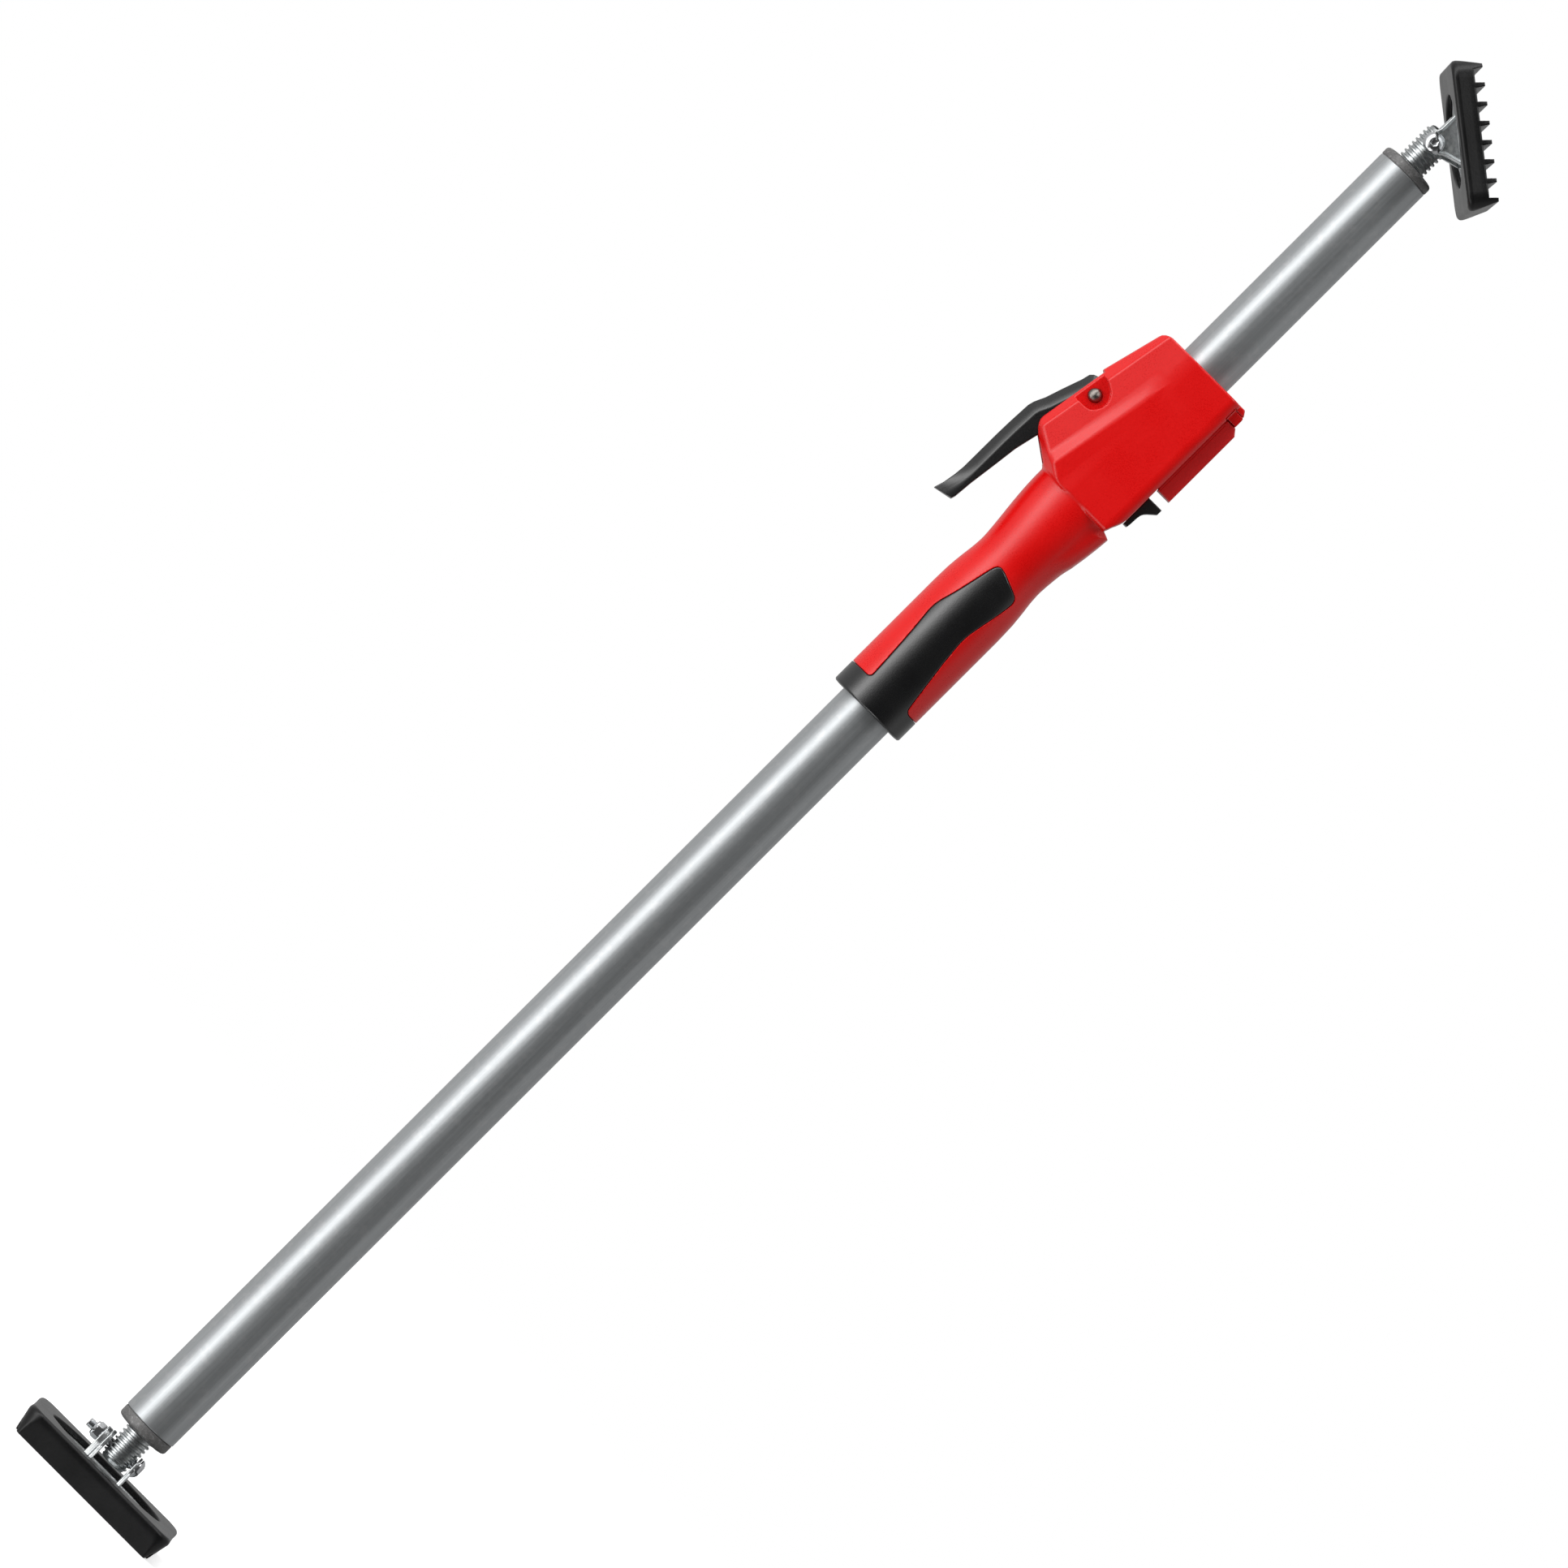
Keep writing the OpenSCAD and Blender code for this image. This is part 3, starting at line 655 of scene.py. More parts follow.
GX = axis((-42, 30.9, 0.42))
GYB = axis((-1.0, 7.6, 0.86), (7.6, 22.6, 0.42))
GZ_ = axis((530.6, 545.2, 0.45), (545.2, 598, 0.8), (598, 627, 0.45), (627, 662, 0.75), (662, 761, 0.42))
front = mesh_from("housing_front_shell", *net(front_d, 0, 0, (GX, -GYB[::-1], GZ_)))
dress(front, "root", "red_housing", "housing_front")
rear = mesh_from("housing_rear_shell", *net(rear_d, 0, 0, (GX, GYB, GZ_)))
dress(rear, "root", "red_housing", "housing_rear")


def inlay_d(x, y, z):
    g = grip_d(x, y, z)
    d = rmax(g - 0.05, inlay_zone(x, y, z) + 0.22, 0.45)
    d = np.maximum(d, -(g + 1.45))
    d = rmax(d, 530.0 - z + 0 * x, 1.3)
    # the collar turns in to the tube at the bottom
    rr = np.sqrt(x * x + y * y)
    disc = rmax(rr - 19.9, slab(z, 530.0, 531.6), 0.6)
    d = rmin(d, disc, 0.6)
    return cut(d, rr - 15.18, 0.3)


IX = axis((-22.5, 22.5, 0.45))
inlay = mesh_from("grip_soft_collar", *net(inlay_d, 0, 0, (IX, IX, axis((529.2, 546, 0.42), (546, 600, 0.8), (600, 625.4, 0.42)))))
dress(inlay, "root", "soft_grip", "grip_overmould")

# ------------------------------------------------------------------ lever, button, slide
BACK = [(-34.2, 722.0), (-36.6, 721.1), (-38.1, 719.6), (-39.1, 715.5), (-42.6, 705.5), (-45.4, 697), (-47.9, 691.6), (-48.7, 688.5),
        (-49.3, 676), (-49.5, 667.5), (-49.6, 645.5), (-50.1, 640), (-51.2, 633.5), (-52.7, 628.7)]
INNER = [(-43.1, 630.7), (-42.4, 633.0), (-41.6, 642.5), (-39.6, 657.5), (-38.1, 669.5), (-35.6, 680.5), (-30, 700), (-24.5, 709.5),
         (-23.2, 714), (-24.5, 719), (-30, 722)]


def lever_d(x, y, z):
    ay = np.abs(y)
    side = poly(x, z, BACK + INNER)
    e = line_dist(x, z, BACK)
    t = np.clip((651 - z) / 19.0, 0, 1)
    es = e * (1 - t) + (3.4 + e * 0.33) * t
    strip = (ay - (3.5 + 1.03 * es)) * 0.70
    cham = (ay - (6.9 + 0.62 * (es - 3.3))) * 0.85
    sec = rmax(rmax(strip, cham, 0.3), ay - 8.2 + 0 * es, 0.3)
    d = rmax(side, sec, 0.4)
    hollow = rmax(rmax(3.4 - e, ay - 5.8, 0.8), z - 702 + 0 * x, 1.5)
    hollow = rmax(hollow, 635.2 - z + 0.25 * (x + 45), 1.0)
    d = cut(d, hollow, 0.35)
    # the hub and the nose that lifts the plate
    hub = np.sqrt((x + 29.1) ** 2 + (z - 714) ** 2) - 5.5
    nose = poly(x, z, [(-32, 718.2), (-23.5, 721.5), (-18.1, 721.5), (-18.1, 716.4), (-24, 711), (-29, 708.6)])
    core = rmax(rmin(hub, nose, 1.0), ay - 7.1, 0.4)
    d = np.minimum(d, core)
    pin = np.sqrt((x + 29.1) ** 2 + (z - 714) ** 2) - 3.42
    return cut(d, pin, 0.2)


lever = carve("squeeze_lever", lever_d, (-53.2, -8.4, 628), (-17.6, 8.4, 722.4), (0.36, 0.36, 0.42))
dress(lever, "pump_lever", "black_plastic", "pump_lever")

BUTTON = [(24.2, 703.3), (32.2, 703.3), (32.2, 747.4), (29.6, 750.6), (24.2, 750.6)]


def button_d(x, y, z):
    ay = np.abs(y)
    d = rmax(poly(x, z, BUTTON), ay - 8.0, 0.8)
    # two shallow steps on its face
    groove = np.maximum(np.abs(poly(y, z, [(-6.2, 705.6), (6.2, 705.6), (6.2, 745.4), (-6.2, 745.4)])) - 0.3, 31.75 - x)
    d = cut(d, groove, 0.2)
    inner = rmax(poly(x, z, [(22.5, 707.6), (24.4, 703.6), (26, 703.6), (26, 750.4), (23.4, 750.4), (22.5, 748)]), ay - 7.6, 0.3)
    d = np.minimum(d, inner)
    line = np.maximum(np.maximum(np.abs(x - 25.0) - 0.2, slab(z, 700, 748.6)), 7.7 - ay)
    d = cut(d, line, 0.1)
    knuckle = np.sqrt((x - 26.4) ** 2 + (z - 754.8) ** 2) - 2.55
    knuckle = rmin(knuckle, poly(x, z, [(24.5, 748), (28.9, 748), (28.9, 754.8), (24.3, 754.8)]), 0.5)
    knuckle = rmax(knuckle, ay - 3.85, 0.3)
    d = rmin(d, knuckle, 0.3)
    return cut(d, np.sqrt((x - 26.4) ** 2 + (z - 754.8) ** 2) - 1.6, 0.1)


button = carve("press_button", button_d, (22.3, -8.1, 703), (32.4, 8.1, 757.6), 0.34)
dress(button, "release_button", "red_button", "release_button")

SLIDE = [(23.87, 680.4), (25.9, 680.4), (26.3, 680.9), (26.5, 682.5), (26.75, 687), (27.1, 689.2), (27.8, 690.6), (28.9, 691.8),
         (31.0, 693.7), (32.5, 695.0), (32.5, 697.9), (23.87, 697.9)]


def slide_d(x, y, z):
    ay = np.abs(y)
    d = rmax(poly(x, z, SLIDE), ay - 6.0, 0.55)
    # the thumb face dishes a little
    neck = box3(x, ay, z, (20.3, -1, 685), (24.6, 2.6, 693), 0.2)
    plate = box3(x, ay, z, (18.5, -1, 685), (20.4, 5.0, 694), 0.3)
    return np.minimum(d, np.minimum(neck, plate))


slide = carve("thumb_slide", slide_d, (18.2, -6.2, 680), (32.8, 6.2, 698.2), 0.3)
dress(slide, "lock_slide", "black_plastic", "lock_slide")

# the lever's pin with its turned, slightly pointed ends
Y2Z = Matrix(((1, 0, 0, -29.1), (0, 0, -1, 0), (0, 1, 0, 714), (0, 0, 0, 1)))
half = [(14.85, 0), (14.78, 0.5), (14.45, 1.5), (13.95, 2.45), (13.4, 3.05), (12.9, 3.3), (12.6, 3.35)]
pin = rings("pivot_pin", [(-z, r) for z, r in half] + [(-6, 3.35), (0, 3.35), (6, 3.35)] + [(z, r) for z, r in reversed(half)], 64, M=Y2Z, sharp=40)
dress(pin, "root", "pin_steel", "lever_pin")

# pan head screws in the back shell
parts = []
for i, (sx, sz) in enumerate(SCREWS):
    M = Matrix(((1, 0, 0, sx), (0, 0, 1, 0), (0, 1, 0, sz), (0, 0, 0, 1)))
    six = hexr(2.2, 0.3 * i)
    st = [(-7.4, 0), (-7.0, 0.7)] + [s for k in range(14) for s in ((-6.6 + k * 0.95, 1.1), (-6.2 + k * 0.95, 1.5))]
    st += [(7.9, 1.2), (8.0, 2.7), (8.6, 2.72), (9.5, 2.45), (10.1, 1.9), (10.28, 1.5), (10.1, six), (9.0, six), (8.9, 0)]
    parts.append(rings(f"housing_screw_{i + 1}", st, 24, M=M, sharp=30))
with bpy.context.temp_override(active_object=parts[0], selected_editable_objects=parts, selected_objects=parts):
    bpy.ops.object.join()
parts[0].name = "shell_screws"
dress(parts[0], "root", "screw_steel", "housing_screws")

# ------------------------------------------------------------------ tubes and collars


def tube(name, r, ri, z0, z1, seg=128):
    c = 0.22
    st = [(z0 + c, r), (z0 + 2 * c, r), (z0 + 1.2, r), (z0 + 3, r)] + [(z0 + (z1 - z0) * k / 12, r) for k in range(1, 12)]
    st += [(z1 - 3, r), (z1 - 1.2, r), (z1 - 2 * c, r), (z1 - c, r), (z1 - 0.05, r - 0.17), (z1, r - 0.3),
           (z1, ri + 0.12), (z1 - 0.15, ri), (z1 - 0.5, ri), (z1 - 2, ri), (z0 + 2, ri), (z0 + 0.5, ri), (z0 + 0.15, ri), (z0, ri + 0.12), (z0, r - 0.3),
           (z0 + 0.05, r - 0.17), (z0 + c, r)]
    P, F = [], []
    st = st[:-1]
    for z, rr in st:
        for k in range(seg):
            t = 2 * math.pi * k / seg
            P.append((rr * math.cos(t), rr * math.sin(t), z))
    n = len(st)
    for i in range(n):
        j = (i + 1) % n
        for k in range(seg):
            m = (k + 1) % seg
            F.append((i * seg + k, i * seg + m, j * seg + m, j * seg + k))
    ob = mesh_from(name, np.array(P), F)
    outward(ob)
    sharpen(ob, 50)
    return ob


dress(tube("steel_lower_tube", 15.1, 14.4, 44.5, 668), "root", "tube_steel", "lower_tube")
dress(tube("steel_upper_tube", 14.25, 13.25, 256, 894), "upper_tube", "tube_steel", "upper_tube")


def collar_stations(rc, hc, rs, hs, ri):
    """Outline of an end plug from its outer face inwards, with a threaded bore."""
    st = [(0.0, ri + 0.7), (0.0, rc - 2.0), (0.25, rc - 1.1), (0.75, rc - 0.4), (1.5, rc - 0.05), (2.1, rc), (hc - 0.75, rc), (hc - 0.45, rc - 0.16),
          (hc - 0.35, rc - 0.45), (hc, rc - 0.5), (hc, rs - 0.05), (hc + 2, rs - 0.05), (hc + hs - 1.4, rs - 0.05), (hc + hs, rs - 1.1), (hc + hs, ri + 0.6)]
    z = hc + hs - 0.6
    while z > 0.9:
        st += [(z, ri), (z - 0.7, ri), (z - 1.1, ri + 0.75), (z - 1.9, ri + 0.75)]
        z -= 2.5
    return st


def closed_rings(name, st, seg=96, M=None, sharp=32):
    P, F = [], []
    for z, r in st:
        for k in range(seg):
            t = 2 * math.pi * k / seg
            rr = r(t) if callable(r) else r
            P.append((rr * math.cos(t), rr * math.sin(t), z))
    n = len(st)
    for i in range(n):
        j = (i + 1) % n
        for k in range(seg):
            m = (k + 1) % seg
            F.append((i * seg + k, i * seg + m, j * seg + m, j * seg + k))
    P = np.array(P)
    if M is not None:
        A = np.array(M)
        P = P @ A[:3, :3].T + A[:3, 3]
    ob = mesh_from(name, P, F)
    outward(ob)
    sharpen(ob, sharp)
    return ob


T = Matrix.Translation
dress(closed_rings("foot_collar", collar_stations(14.85, 6.2, 14.4, 21.5, 8.1), M=T((0, 0, 38.3))), "root", "plug_metal", "foot_end_plug")
FLIP = T((0, 0, 899)) @ Matrix.Diagonal((1, 1, -1, 1))
dress(closed_rings("head_collar", collar_stations(14.35, 5.0, 13.25, 22, 8.1), M=FLIP), "upper_tube", "plug_metal", "head_end_plug")

# ------------------------------------------------------------------ spindles


def spindle(name, M):
    """A coarse trapezoid thread on a real helix, then the plain journal and clip groove. t runs from the pad end."""
    seg, pitch, t0, t1 = 48, 2.5, 1.0, 79.0
    prof = [(0.0, 0), (0.22, 0), (0.40, 1), (0.68, 1), (0.88, 0)]
    crest, root = 7.98, 6.75
    P, F = [], []
    turns = int((t1 - t0) / pitch) + 2
    rows = [k + u for k in range(-1, turns) for u, _ in prof]
    shape = [s for _ in range(-1, turns) for _, s in prof]
    n = len(rows)
    for k in range(seg + 1):
        a = 2 * math.pi * k / seg
        for row, s in zip(rows, shape):
            t = t0 + pitch * (row + k / seg)
            fade = min(1, max(0, (t - t0) / 2.0), max(0, (t1 - t) / 2.0))
            r = root + (crest - root) * s * max(0.0, fade)
            P.append((r * math.cos(a), r * math.sin(a), min(max(t, t0), t1)))
    for k in range(seg):
        for i in range(n - 1):
            q = (k * n + i, (k + 1) * n + i, (k + 1) * n + i + 1, k * n + i + 1)
            zs = [P[v][2] for v in q]
            if max(zs) - min(zs) > 1e-6:
                F.append(q)
    me = mesh_from(name, transform(P, M), F)
    ends = [rings(name + "_a", [(0, 0), (0, 5.7), (0.35, 6.35), (1.0, 6.75), (1.02, 6.75), (1.02, 6.0), (2.4, 0)], 48, M=M),
            rings(name + "_b", [(78.0, 0), (78.98, 6.0), (79.0, 6.75), (80.0, 6.75), (80.0, 6.0), (88.7, 6.0), (88.7, 5.2), (89.8, 5.2), (89.8, 6.0),
                                (91.3, 6.0), (92, 5.3), (92, 0)], 48, M=M)]
    obs = [me] + ends
    with bpy.context.temp_override(active_object=me, selected_editable_objects=obs, selected_objects=obs):
        bpy.ops.object.join()
    weld(me)
    outward(me)
    sharpen(me, 32)
    return me


def transform(P, M):
    A = np.array(M)
    return np.array(P, float) @ A[:3, :3].T + A[:3, 3]


def weld(ob, d=0.00002):
    import bmesh
    bm = bmesh.new()
    bm.from_mesh(ob.data)
    bmesh.ops.remove_doubles(bm, verts=bm.verts, dist=d)
    bmesh.ops.dissolve_degenerate(bm, edges=bm.edges, dist=1e-6)
    bm.to_mesh(ob.data)
    bm.free()


FOOT = T((0, 0, 18))
HEADM = T((0, 0, 921.5)) @ Matrix.Diagonal((1, 1, -1, 1)) @ Matrix.Rotation(math.pi / 2, 4, "Z")
dress(spindle("foot_screw_spindle", FOOT), "foot_screw", "zinc_plated", "foot_spindle")
dress(spindle("head_screw_spindle", HEADM), "head_screw", "zinc_plated", "head_spindle")

# ------------------------------------------------------------------ pad assemblies, drawn at the foot
AT_FOOT = Matrix.Identity(4)
AT_HEAD = (T((0, 0, 914.5)) @ Matrix.Rotation(math.radians(38), 4, "Y") @ Matrix.Rotation(math.radians(-90), 4, "Z")
           @ Matrix.Rotation(math.radians(180), 4, "X") @ T((0, 0, -25)))

RIB_Y = [-32.2 + 9.2 * i for i in range(8)]
RIBS = []
for i, ry in enumerate(RIB_Y):
    if i > 0:
        RIBS.append((ry - 1.35, 4.5))
    RIBS += [(ry - 0.9, 0.0), (ry + 0.9, 0.0)]
    if i < 7:
        RIBS.append((ry + 1.35, 4.5))
PROFILE = RIBS + [(36.3, 12.4), (36.3, 15.2), (-36.3, 15.2), (-36.3, 12.4)]


def pad_d(x, y, z):
    ax, ay = np.abs(x), np.abs(y)
    rib = poly(y, z, PROFILE)
    # walls with draft and round corners, drawn in a little in the middle
    draft = np.clip(12.2 - z, 0, 20)
    wide = ax - 47.0 + 0.22 * draft + 0.45 * np.cos(np.clip(y / 36.3, -1, 1) * math.pi / 2) * smooth(2, 8, z)
    wall = rmax(wide, ay - 36.3 + 0.02 * draft, 9.0)
    d = rmax(rib, wall, 0.45)
    d = rmax(d, rmax(wall, z - 15.2 + 0 * x, 2.7), 0.3)
    # the oval well with a rolled lip, and the undercut that holds the pressure plate
    d = cut(d, np.maximum(ellipse(x, y, 36.0, 22.6), 12.3 - z), 1.0)
    return cut(d, np.maximum(ellipse(x, y, 39.4, 25.0), slab(z, 10.15, 12.45)), 0.0)


P, Q, NN = net(pad_d, (-47.2, -36.5, 0), (47.2, 36.5, 15.3), (0.75, 0.5, 0.5))


def pad(name, body, M, node):
    A = np.array(M)
    ob = mesh_from(name, transform(P, M), Q, NN @ A[:3, :3].T)
    return dress(ob, body, "pad_pvc", node)


pad("foot_ribbed_pad", "foot_pad", AT_FOOT, "foot_pad_cover")
pad("head_ribbed_pad", "head_pad", AT_HEAD, "head_pad_cover")


def bracket_d(x, y, z):
    ay = np.abs(y)
    # pressure plate with a pressed rim
    d = rmax(ellipse(x, y, 39.2, 24.8), slab(z, 10.25, 12.15), 0.5)
    d = cut(d, np.maximum(ellipse(x, y, 33.5, 19.0), 11.75 - z), 0.3)
    # ears: rounded top, edges folded over
    slope = 0.75
    wide = ay - (13.3 - (z - 12.0) * slope)
    outline = rmin(np.maximum(wide * 0.9, z - 26.0), np.sqrt(y * y + (z - 25) ** 2) - 5.4, 3.0)
    outline = np.maximum(outline, 11.0 - z)
    skin = np.maximum(outline, -outline - 1.9)
    right = rmax(outline, slab(x, 8.4, 9.7), 0.35)
    lip = rmax(rmax(skin, slab(x, 8.4, 10.8), 1.0), z - 24.6 + 0 * x, 1.0)
    left = rmax(outline, slab(x, -13.4, -12.1), 0.35)
    outer = rmax(skin, slab(x, -13.4, -10.55), 0.55)
    inner = rmax(np.maximum(outline - 0.5, -outline - 1.9), slab(x, -10.45, -8.35), 0.6)
    inner = rmax(inner, 13.2 - z + 0.75 * (x + 9.9), 0.5)
    for piece, r in ((right, 0.7), (lip, 0.4), (left, 0.7), (outer, 0.2), (inner, 0.12)):
        d = rmin(d, piece, r)
    return cut(d, np.sqrt(y * y + (z - 25) ** 2) - 2.55, 0.1)


BP, BQ, BN = net(bracket_d, 0, 0, (axis((-39.9, -14.5, 0.9), (-14.5, -7.5, 0.33), (-7.5, 7.5, 0.9), (7.5, 11.7, 0.33), (11.7, 39.9, 0.9)), axis((-25.4, 25.4, 0.45)), axis((9.6, 13.4, 0.33), (13.4, 32.2, 0.42))))


def bracket(name, body, M, node):
    A = np.array(M)
    ob = mesh_from(name, transform(BP, M), BQ, BN @ A[:3, :3].T)
    return dress(ob, body, "zinc_plated", node)


bracket("foot_ear_plate", "foot_pad", AT_FOOT, "foot_bracket")
bracket("head_ear_plate", "head_pad", AT_HEAD, "head_bracket")

# bolts and lock nuts: t along local +X
ALONG = Matrix(((0, 0, 1, 0), (0, 1, 0, 0), (-1, 0, 0, 25), (0, 0, 0, 1)))


def bolt(name, body, M, node):
    six = hexr(3.1)
    st = [(-22, 0), (-22, 1.9)]
    t = -21.75
    while t < -17.6:
        st += [(t, 2.08), (t + 0.22, 2.5), (t + 0.42, 2.5), (t + 0.62, 2.08)]
        t += 0.8
    st += [(-17.4, 2.08), (-17.2, 2.5), (9.9, 2.5), (9.9, 5.25), (10.25, 5.3), (10.7, 5.24), (11.3, 4.95), (11.95, 4.4), (12.5, 3.65), (12.9, 2.8),
           (13.05, 2.25), (13.08, 2.0), (12.9, six), (12.6, six), (11.1, six), (11.0, lambda a: six(a) * 0.86), (10.8, 0)]
    ob = rings(name, st, 72, M=M @ ALONG, sharp=34)
    return dress(ob, body, "bright_zinc", node)


bolt("foot_pivot_bolt", "foot_pad", AT_FOOT, "foot_bolt")
bolt("head_pivot_bolt", "head_pad", AT_HEAD, "head_bolt")


def nut(name, body, M, node):
    full = hexr(7.98)

    def cham(c):
        return lambda a: min(full(a), c)
    st = [(-13.42, 2.56), (-13.42, 3.95), (-13.75, cham(4.45)), (-14.1, full), (-16.7, full), (-17.0, cham(4.42)), (-17.3, cham(4.05)),
          (-17.35, 3.95), (-17.9, 3.85), (-18.3, 3.5), (-18.5, 3.05), (-18.5, 2.7), (-18.2, 2.56)]
    ob = closed_rings(name, st, 96, M=M @ ALONG, sharp=26)
    return dress(ob, body, "bright_zinc", node)


nut("foot_lock_nut", "foot_pad", AT_FOOT, "foot_locknut")
nut("head_lock_nut", "head_pad", AT_HEAD, "head_locknut")

# ------------------------------------------------------------------ inner CAD pieces keep their shape and get their finish
SLOTS = {"foot_guide_ring": "bush_plastic", "head_guide_ring": "bush_plastic", "tube_glide_ring": "bush_plastic",
         "lower_guide_bush": "bush_plastic", "upper_guide_bush": "bush_plastic", "foot_circlip": "spring_steel",
         "head_circlip": "spring_steel", "brake_spring": "spring_steel",
         "brake_plate": "plate_steel", "drive_plate": "plate_steel", "button_pin": "pin_steel"}
for node, s in SLOTS.items():
    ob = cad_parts[node]
    ob.data.materials.clear()
    ob.data.materials.append(MAT[s])

# the drive plate's spring, which on the real pump shortens as the plate rises: here a copy of the CAD coil with its own
# mesh, carried by the root body
coil = bpy.data.objects.new("drive_return_spring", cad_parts["drive_spring"].data.copy())
coil.matrix_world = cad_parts["drive_spring"].matrix_world.copy()
sc.collection.objects.link(coil)
dress(coil, "root", "spring_steel", "drive_spring")
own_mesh(coil)

# ------------------------------------------------------------------ floor, light, camera
me = bpy.data.meshes.new("floor")
R = 6.0
me.from_pydata([(-R, -R, 0), (R, -R, 0), (R, R, 0), (-R, R, 0)], [], [(0, 1, 2, 3)])
floor = bpy.data.objects.new("floor", me)
sc.collection.objects.link(floor)
fm = bpy.data.materials.new("pale_floor")
fm.use_nodes = True
t = fm.node_tree
t.nodes.clear()
out = t.nodes.new("ShaderNodeOutputMaterial")
dif = t.nodes.new("ShaderNodeBsdfDiffuse")
dif.inputs[0].default_value = (0.86, 0.86, 0.86, 1)
emi = t.nodes.new("ShaderNodeEmission")
emi.inputs[1].default_value = 0.55
add = t.nodes.new("ShaderNodeAddShader")
tra = t.nodes.new("ShaderNodeBsdfTransparent")
geo = t.nodes.new("ShaderNodeNewGeometry")
mix = t.nodes.new("ShaderNodeMixShader")
far = t.nodes.new("ShaderNodeMapRange")
co = t.nodes.new("ShaderNodeTexCoord")
ln = t.nodes.new("ShaderNodeVectorMath")
ln.operation = "LENGTH"
far.interpolation_type = "SMOOTHSTEP"
far.inputs["From Min"].default_value = 0.5
far.inputs["From Max"].default_value = 3.5
mx = t.nodes.new("ShaderNodeMath")
mx.operation = "MAXIMUM"
t.links.new(co.outputs["Object"], ln.inputs[0])
t.links.new(ln.outputs["Value"], far.inputs["Value"])
t.links.new(far.outputs["Result"], mx.inputs[0])
t.links.new(geo.outputs["Backfacing"], mx.inputs[1])
seen = t.nodes.new("ShaderNodeLightPath")
pick = t.nodes.new("ShaderNodeMixShader")
t.links.new(seen.outputs["Is Camera Ray"], pick.inputs[0])
t.links.new(tra.outputs[0], pick.inputs[1])
t.links.new(add.outputs[0], pick.inputs[2])
t.links.new(dif.outputs[0], add.inputs[0])
t.links.new(emi.outputs[0], add.inputs[1])
t.links.new(mx.outputs[0], mix.inputs[0])
t.links.new(pick.outputs[0], mix.inputs[1])
t.links.new(tra.outputs[0], mix.inputs[2])
t.links.new(mix.outputs[0], out.inputs[0])
me.materials.append(fm)

world = bpy.data.worlds.new("studio")
sc.world = world
world.use_nodes = True
t = world.node_tree
t.nodes.clear()
out = t.nodes.new("ShaderNodeOutputWorld")
bg = t.nodes.new("ShaderNodeBackground")
bgc = t.nodes.new("ShaderNodeBackground")
bgc.inputs[0].default_value = (1, 1, 1, 1)
bgc.inputs[1].default_value = 1.0
mixw = t.nodes.new("ShaderNodeMixShader")
lp = t.nodes.new("ShaderNodeLightPath")
co = t.nodes.new("ShaderNodeTexCoord")
sep = t.nodes.new("ShaderNodeSeparateXYZ")
# a ring of soft light round the pole: degrees from the front, brightness
RING = [(-180, 0.66), (-150, 0.68), (-120, 0.68), (-102, 0.66), (-88, 0.66), (-76, 0.85), (-65, 1.7), (-57, 3.9), (-50, 5.0), (-43, 4.1), (-36, 2.0),
        (-26, 0.70), (-15, 0.22), (-4, 0.09), (10, 0.07), (30, 0.07), (50, 0.09), (66, 0.18), (78, 0.50), (90, 0.62), (102, 0.46), (120, 0.40), (145, 0.52), (180, 0.66)]
neg = t.nodes.new("ShaderNodeMath")
neg.operation = "MULTIPLY"
neg.inputs[1].default_value = -1.0
arc = t.nodes.new("ShaderNodeMath")
arc.operation = "ARCTAN2"
mr = t.nodes.new("ShaderNodeMapRange")
mr.inputs["From Min"].default_value = -math.pi
mr.inputs["From Max"].default_value = math.pi
ramp = t.nodes.new("ShaderNodeValToRGB")
ramp.color_ramp.interpolation = "B_SPLINE"
el = ramp.color_ramp.elements
el[0].position, el[-1].position = 0.0, 1.0
el[0].color = el[-1].color = (RING[0][1] / 8, RING[0][1] / 8, RING[0][1] / 8, 1)
for deg, val in RING[1:-1]:
    el.new((deg + 180) / 360).color = (val / 8, val / 8, val / 8, 1)
lift = t.nodes.new("ShaderNodeMapRange")
lift.inputs["From Min"].default_value = -1.0
lift.inputs["From Max"].default_value = 1.0
lift.inputs["To Min"].default_value = 5.6
lift.inputs["To Max"].default_value = 10.2
mul = t.nodes.new("ShaderNodeMath")
mul.operation = "MULTIPLY"
t.links.new(co.outputs["Generated"], sep.inputs[0])
t.links.new(sep.outputs["Y"], neg.inputs[0])
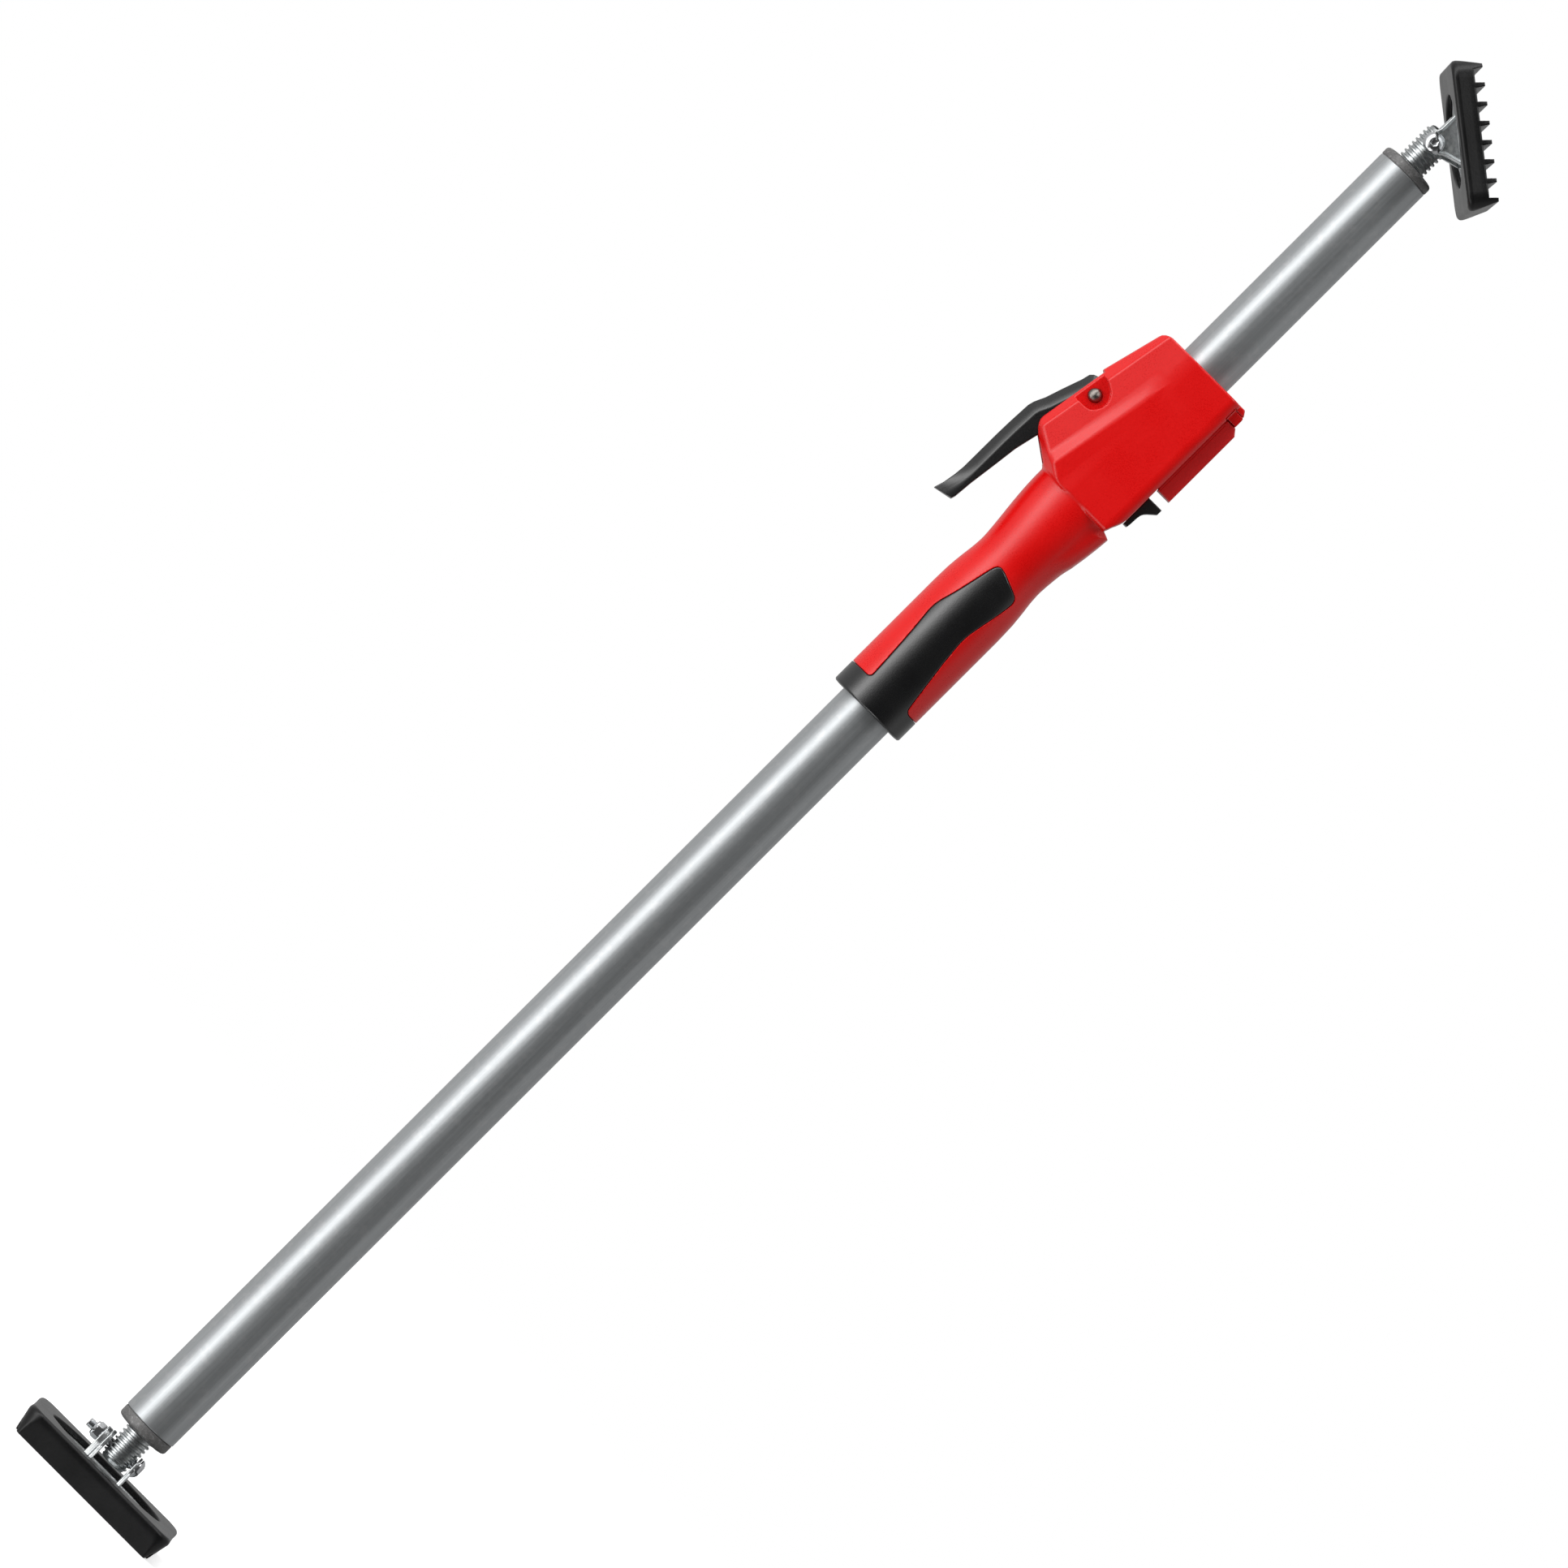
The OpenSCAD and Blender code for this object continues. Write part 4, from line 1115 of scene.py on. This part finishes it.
t.links.new(sep.outputs["X"], arc.inputs[0])
t.links.new(neg.outputs[0], arc.inputs[1])
t.links.new(arc.outputs[0], mr.inputs["Value"])
t.links.new(mr.outputs["Result"], ramp.inputs[0])
t.links.new(sep.outputs["Z"], lift.inputs["Value"])
t.links.new(ramp.outputs["Color"], mul.inputs[0])
t.links.new(lift.outputs["Result"], mul.inputs[1])
t.links.new(mul.outputs[0], bg.inputs["Strength"])
t.links.new(lp.outputs["Is Camera Ray"], mixw.inputs[0])
t.links.new(bg.outputs[0], mixw.inputs[1])
t.links.new(bgc.outputs[0], mixw.inputs[2])
t.links.new(mixw.outputs[0], out.inputs[0])


def softbox(name, where, at, w, h, radiance, color=(1, 1, 1)):
    li = bpy.data.lights.new(name, "AREA")
    li.shape = "RECTANGLE"
    li.size, li.size_y = w, h
    li.energy = radiance * math.pi * w * h
    li.color = color
    ob = bpy.data.objects.new(name, li)
    sc.collection.objects.link(ob)
    ob.location = where
    ob.rotation_mode = "QUATERNION"
    ob.rotation_quaternion = (Vector(at) - Vector(where)).to_track_quat("-Z", "Y")
    ob.visible_camera = False
    return ob


softbox("top_light", (-0.3, 0.1, 2.6), (0, 0, 0.5), 1.2, 1.2, 1.2)
softbox("front_fill", (0.9, -1.5, 2.7), (0, 0, 0.5), 1.6, 1.6, 2.6)
softbox("low_fill", (0.6, -1.3, -2.0), (0, 0, 0.5), 1.6, 1.6, 1.8)

cam = bpy.data.cameras.new("camera")
cam.sensor_width = 36.0
cam.lens = 36.0 * 12500 / 1932
cob = bpy.data.objects.new("camera", cam)
sc.collection.objects.link(cob)
a = math.radians(44.95)
right, up, back = Vector((math.sin(a), 0, math.cos(a))), Vector((-math.cos(a), 0, math.sin(a))), Vector((0, -1, 0))
rot = Matrix((right, up, back)).transposed()
cob.matrix_world = Matrix.Translation((-0.0027, -4.87, 0.4771)) @ rot.to_4x4()
cam.clip_start, cam.clip_end = 0.1, 60
sc.camera = cob
sc.view_settings.view_transform = "Standard"
sc.view_settings.look = "None"
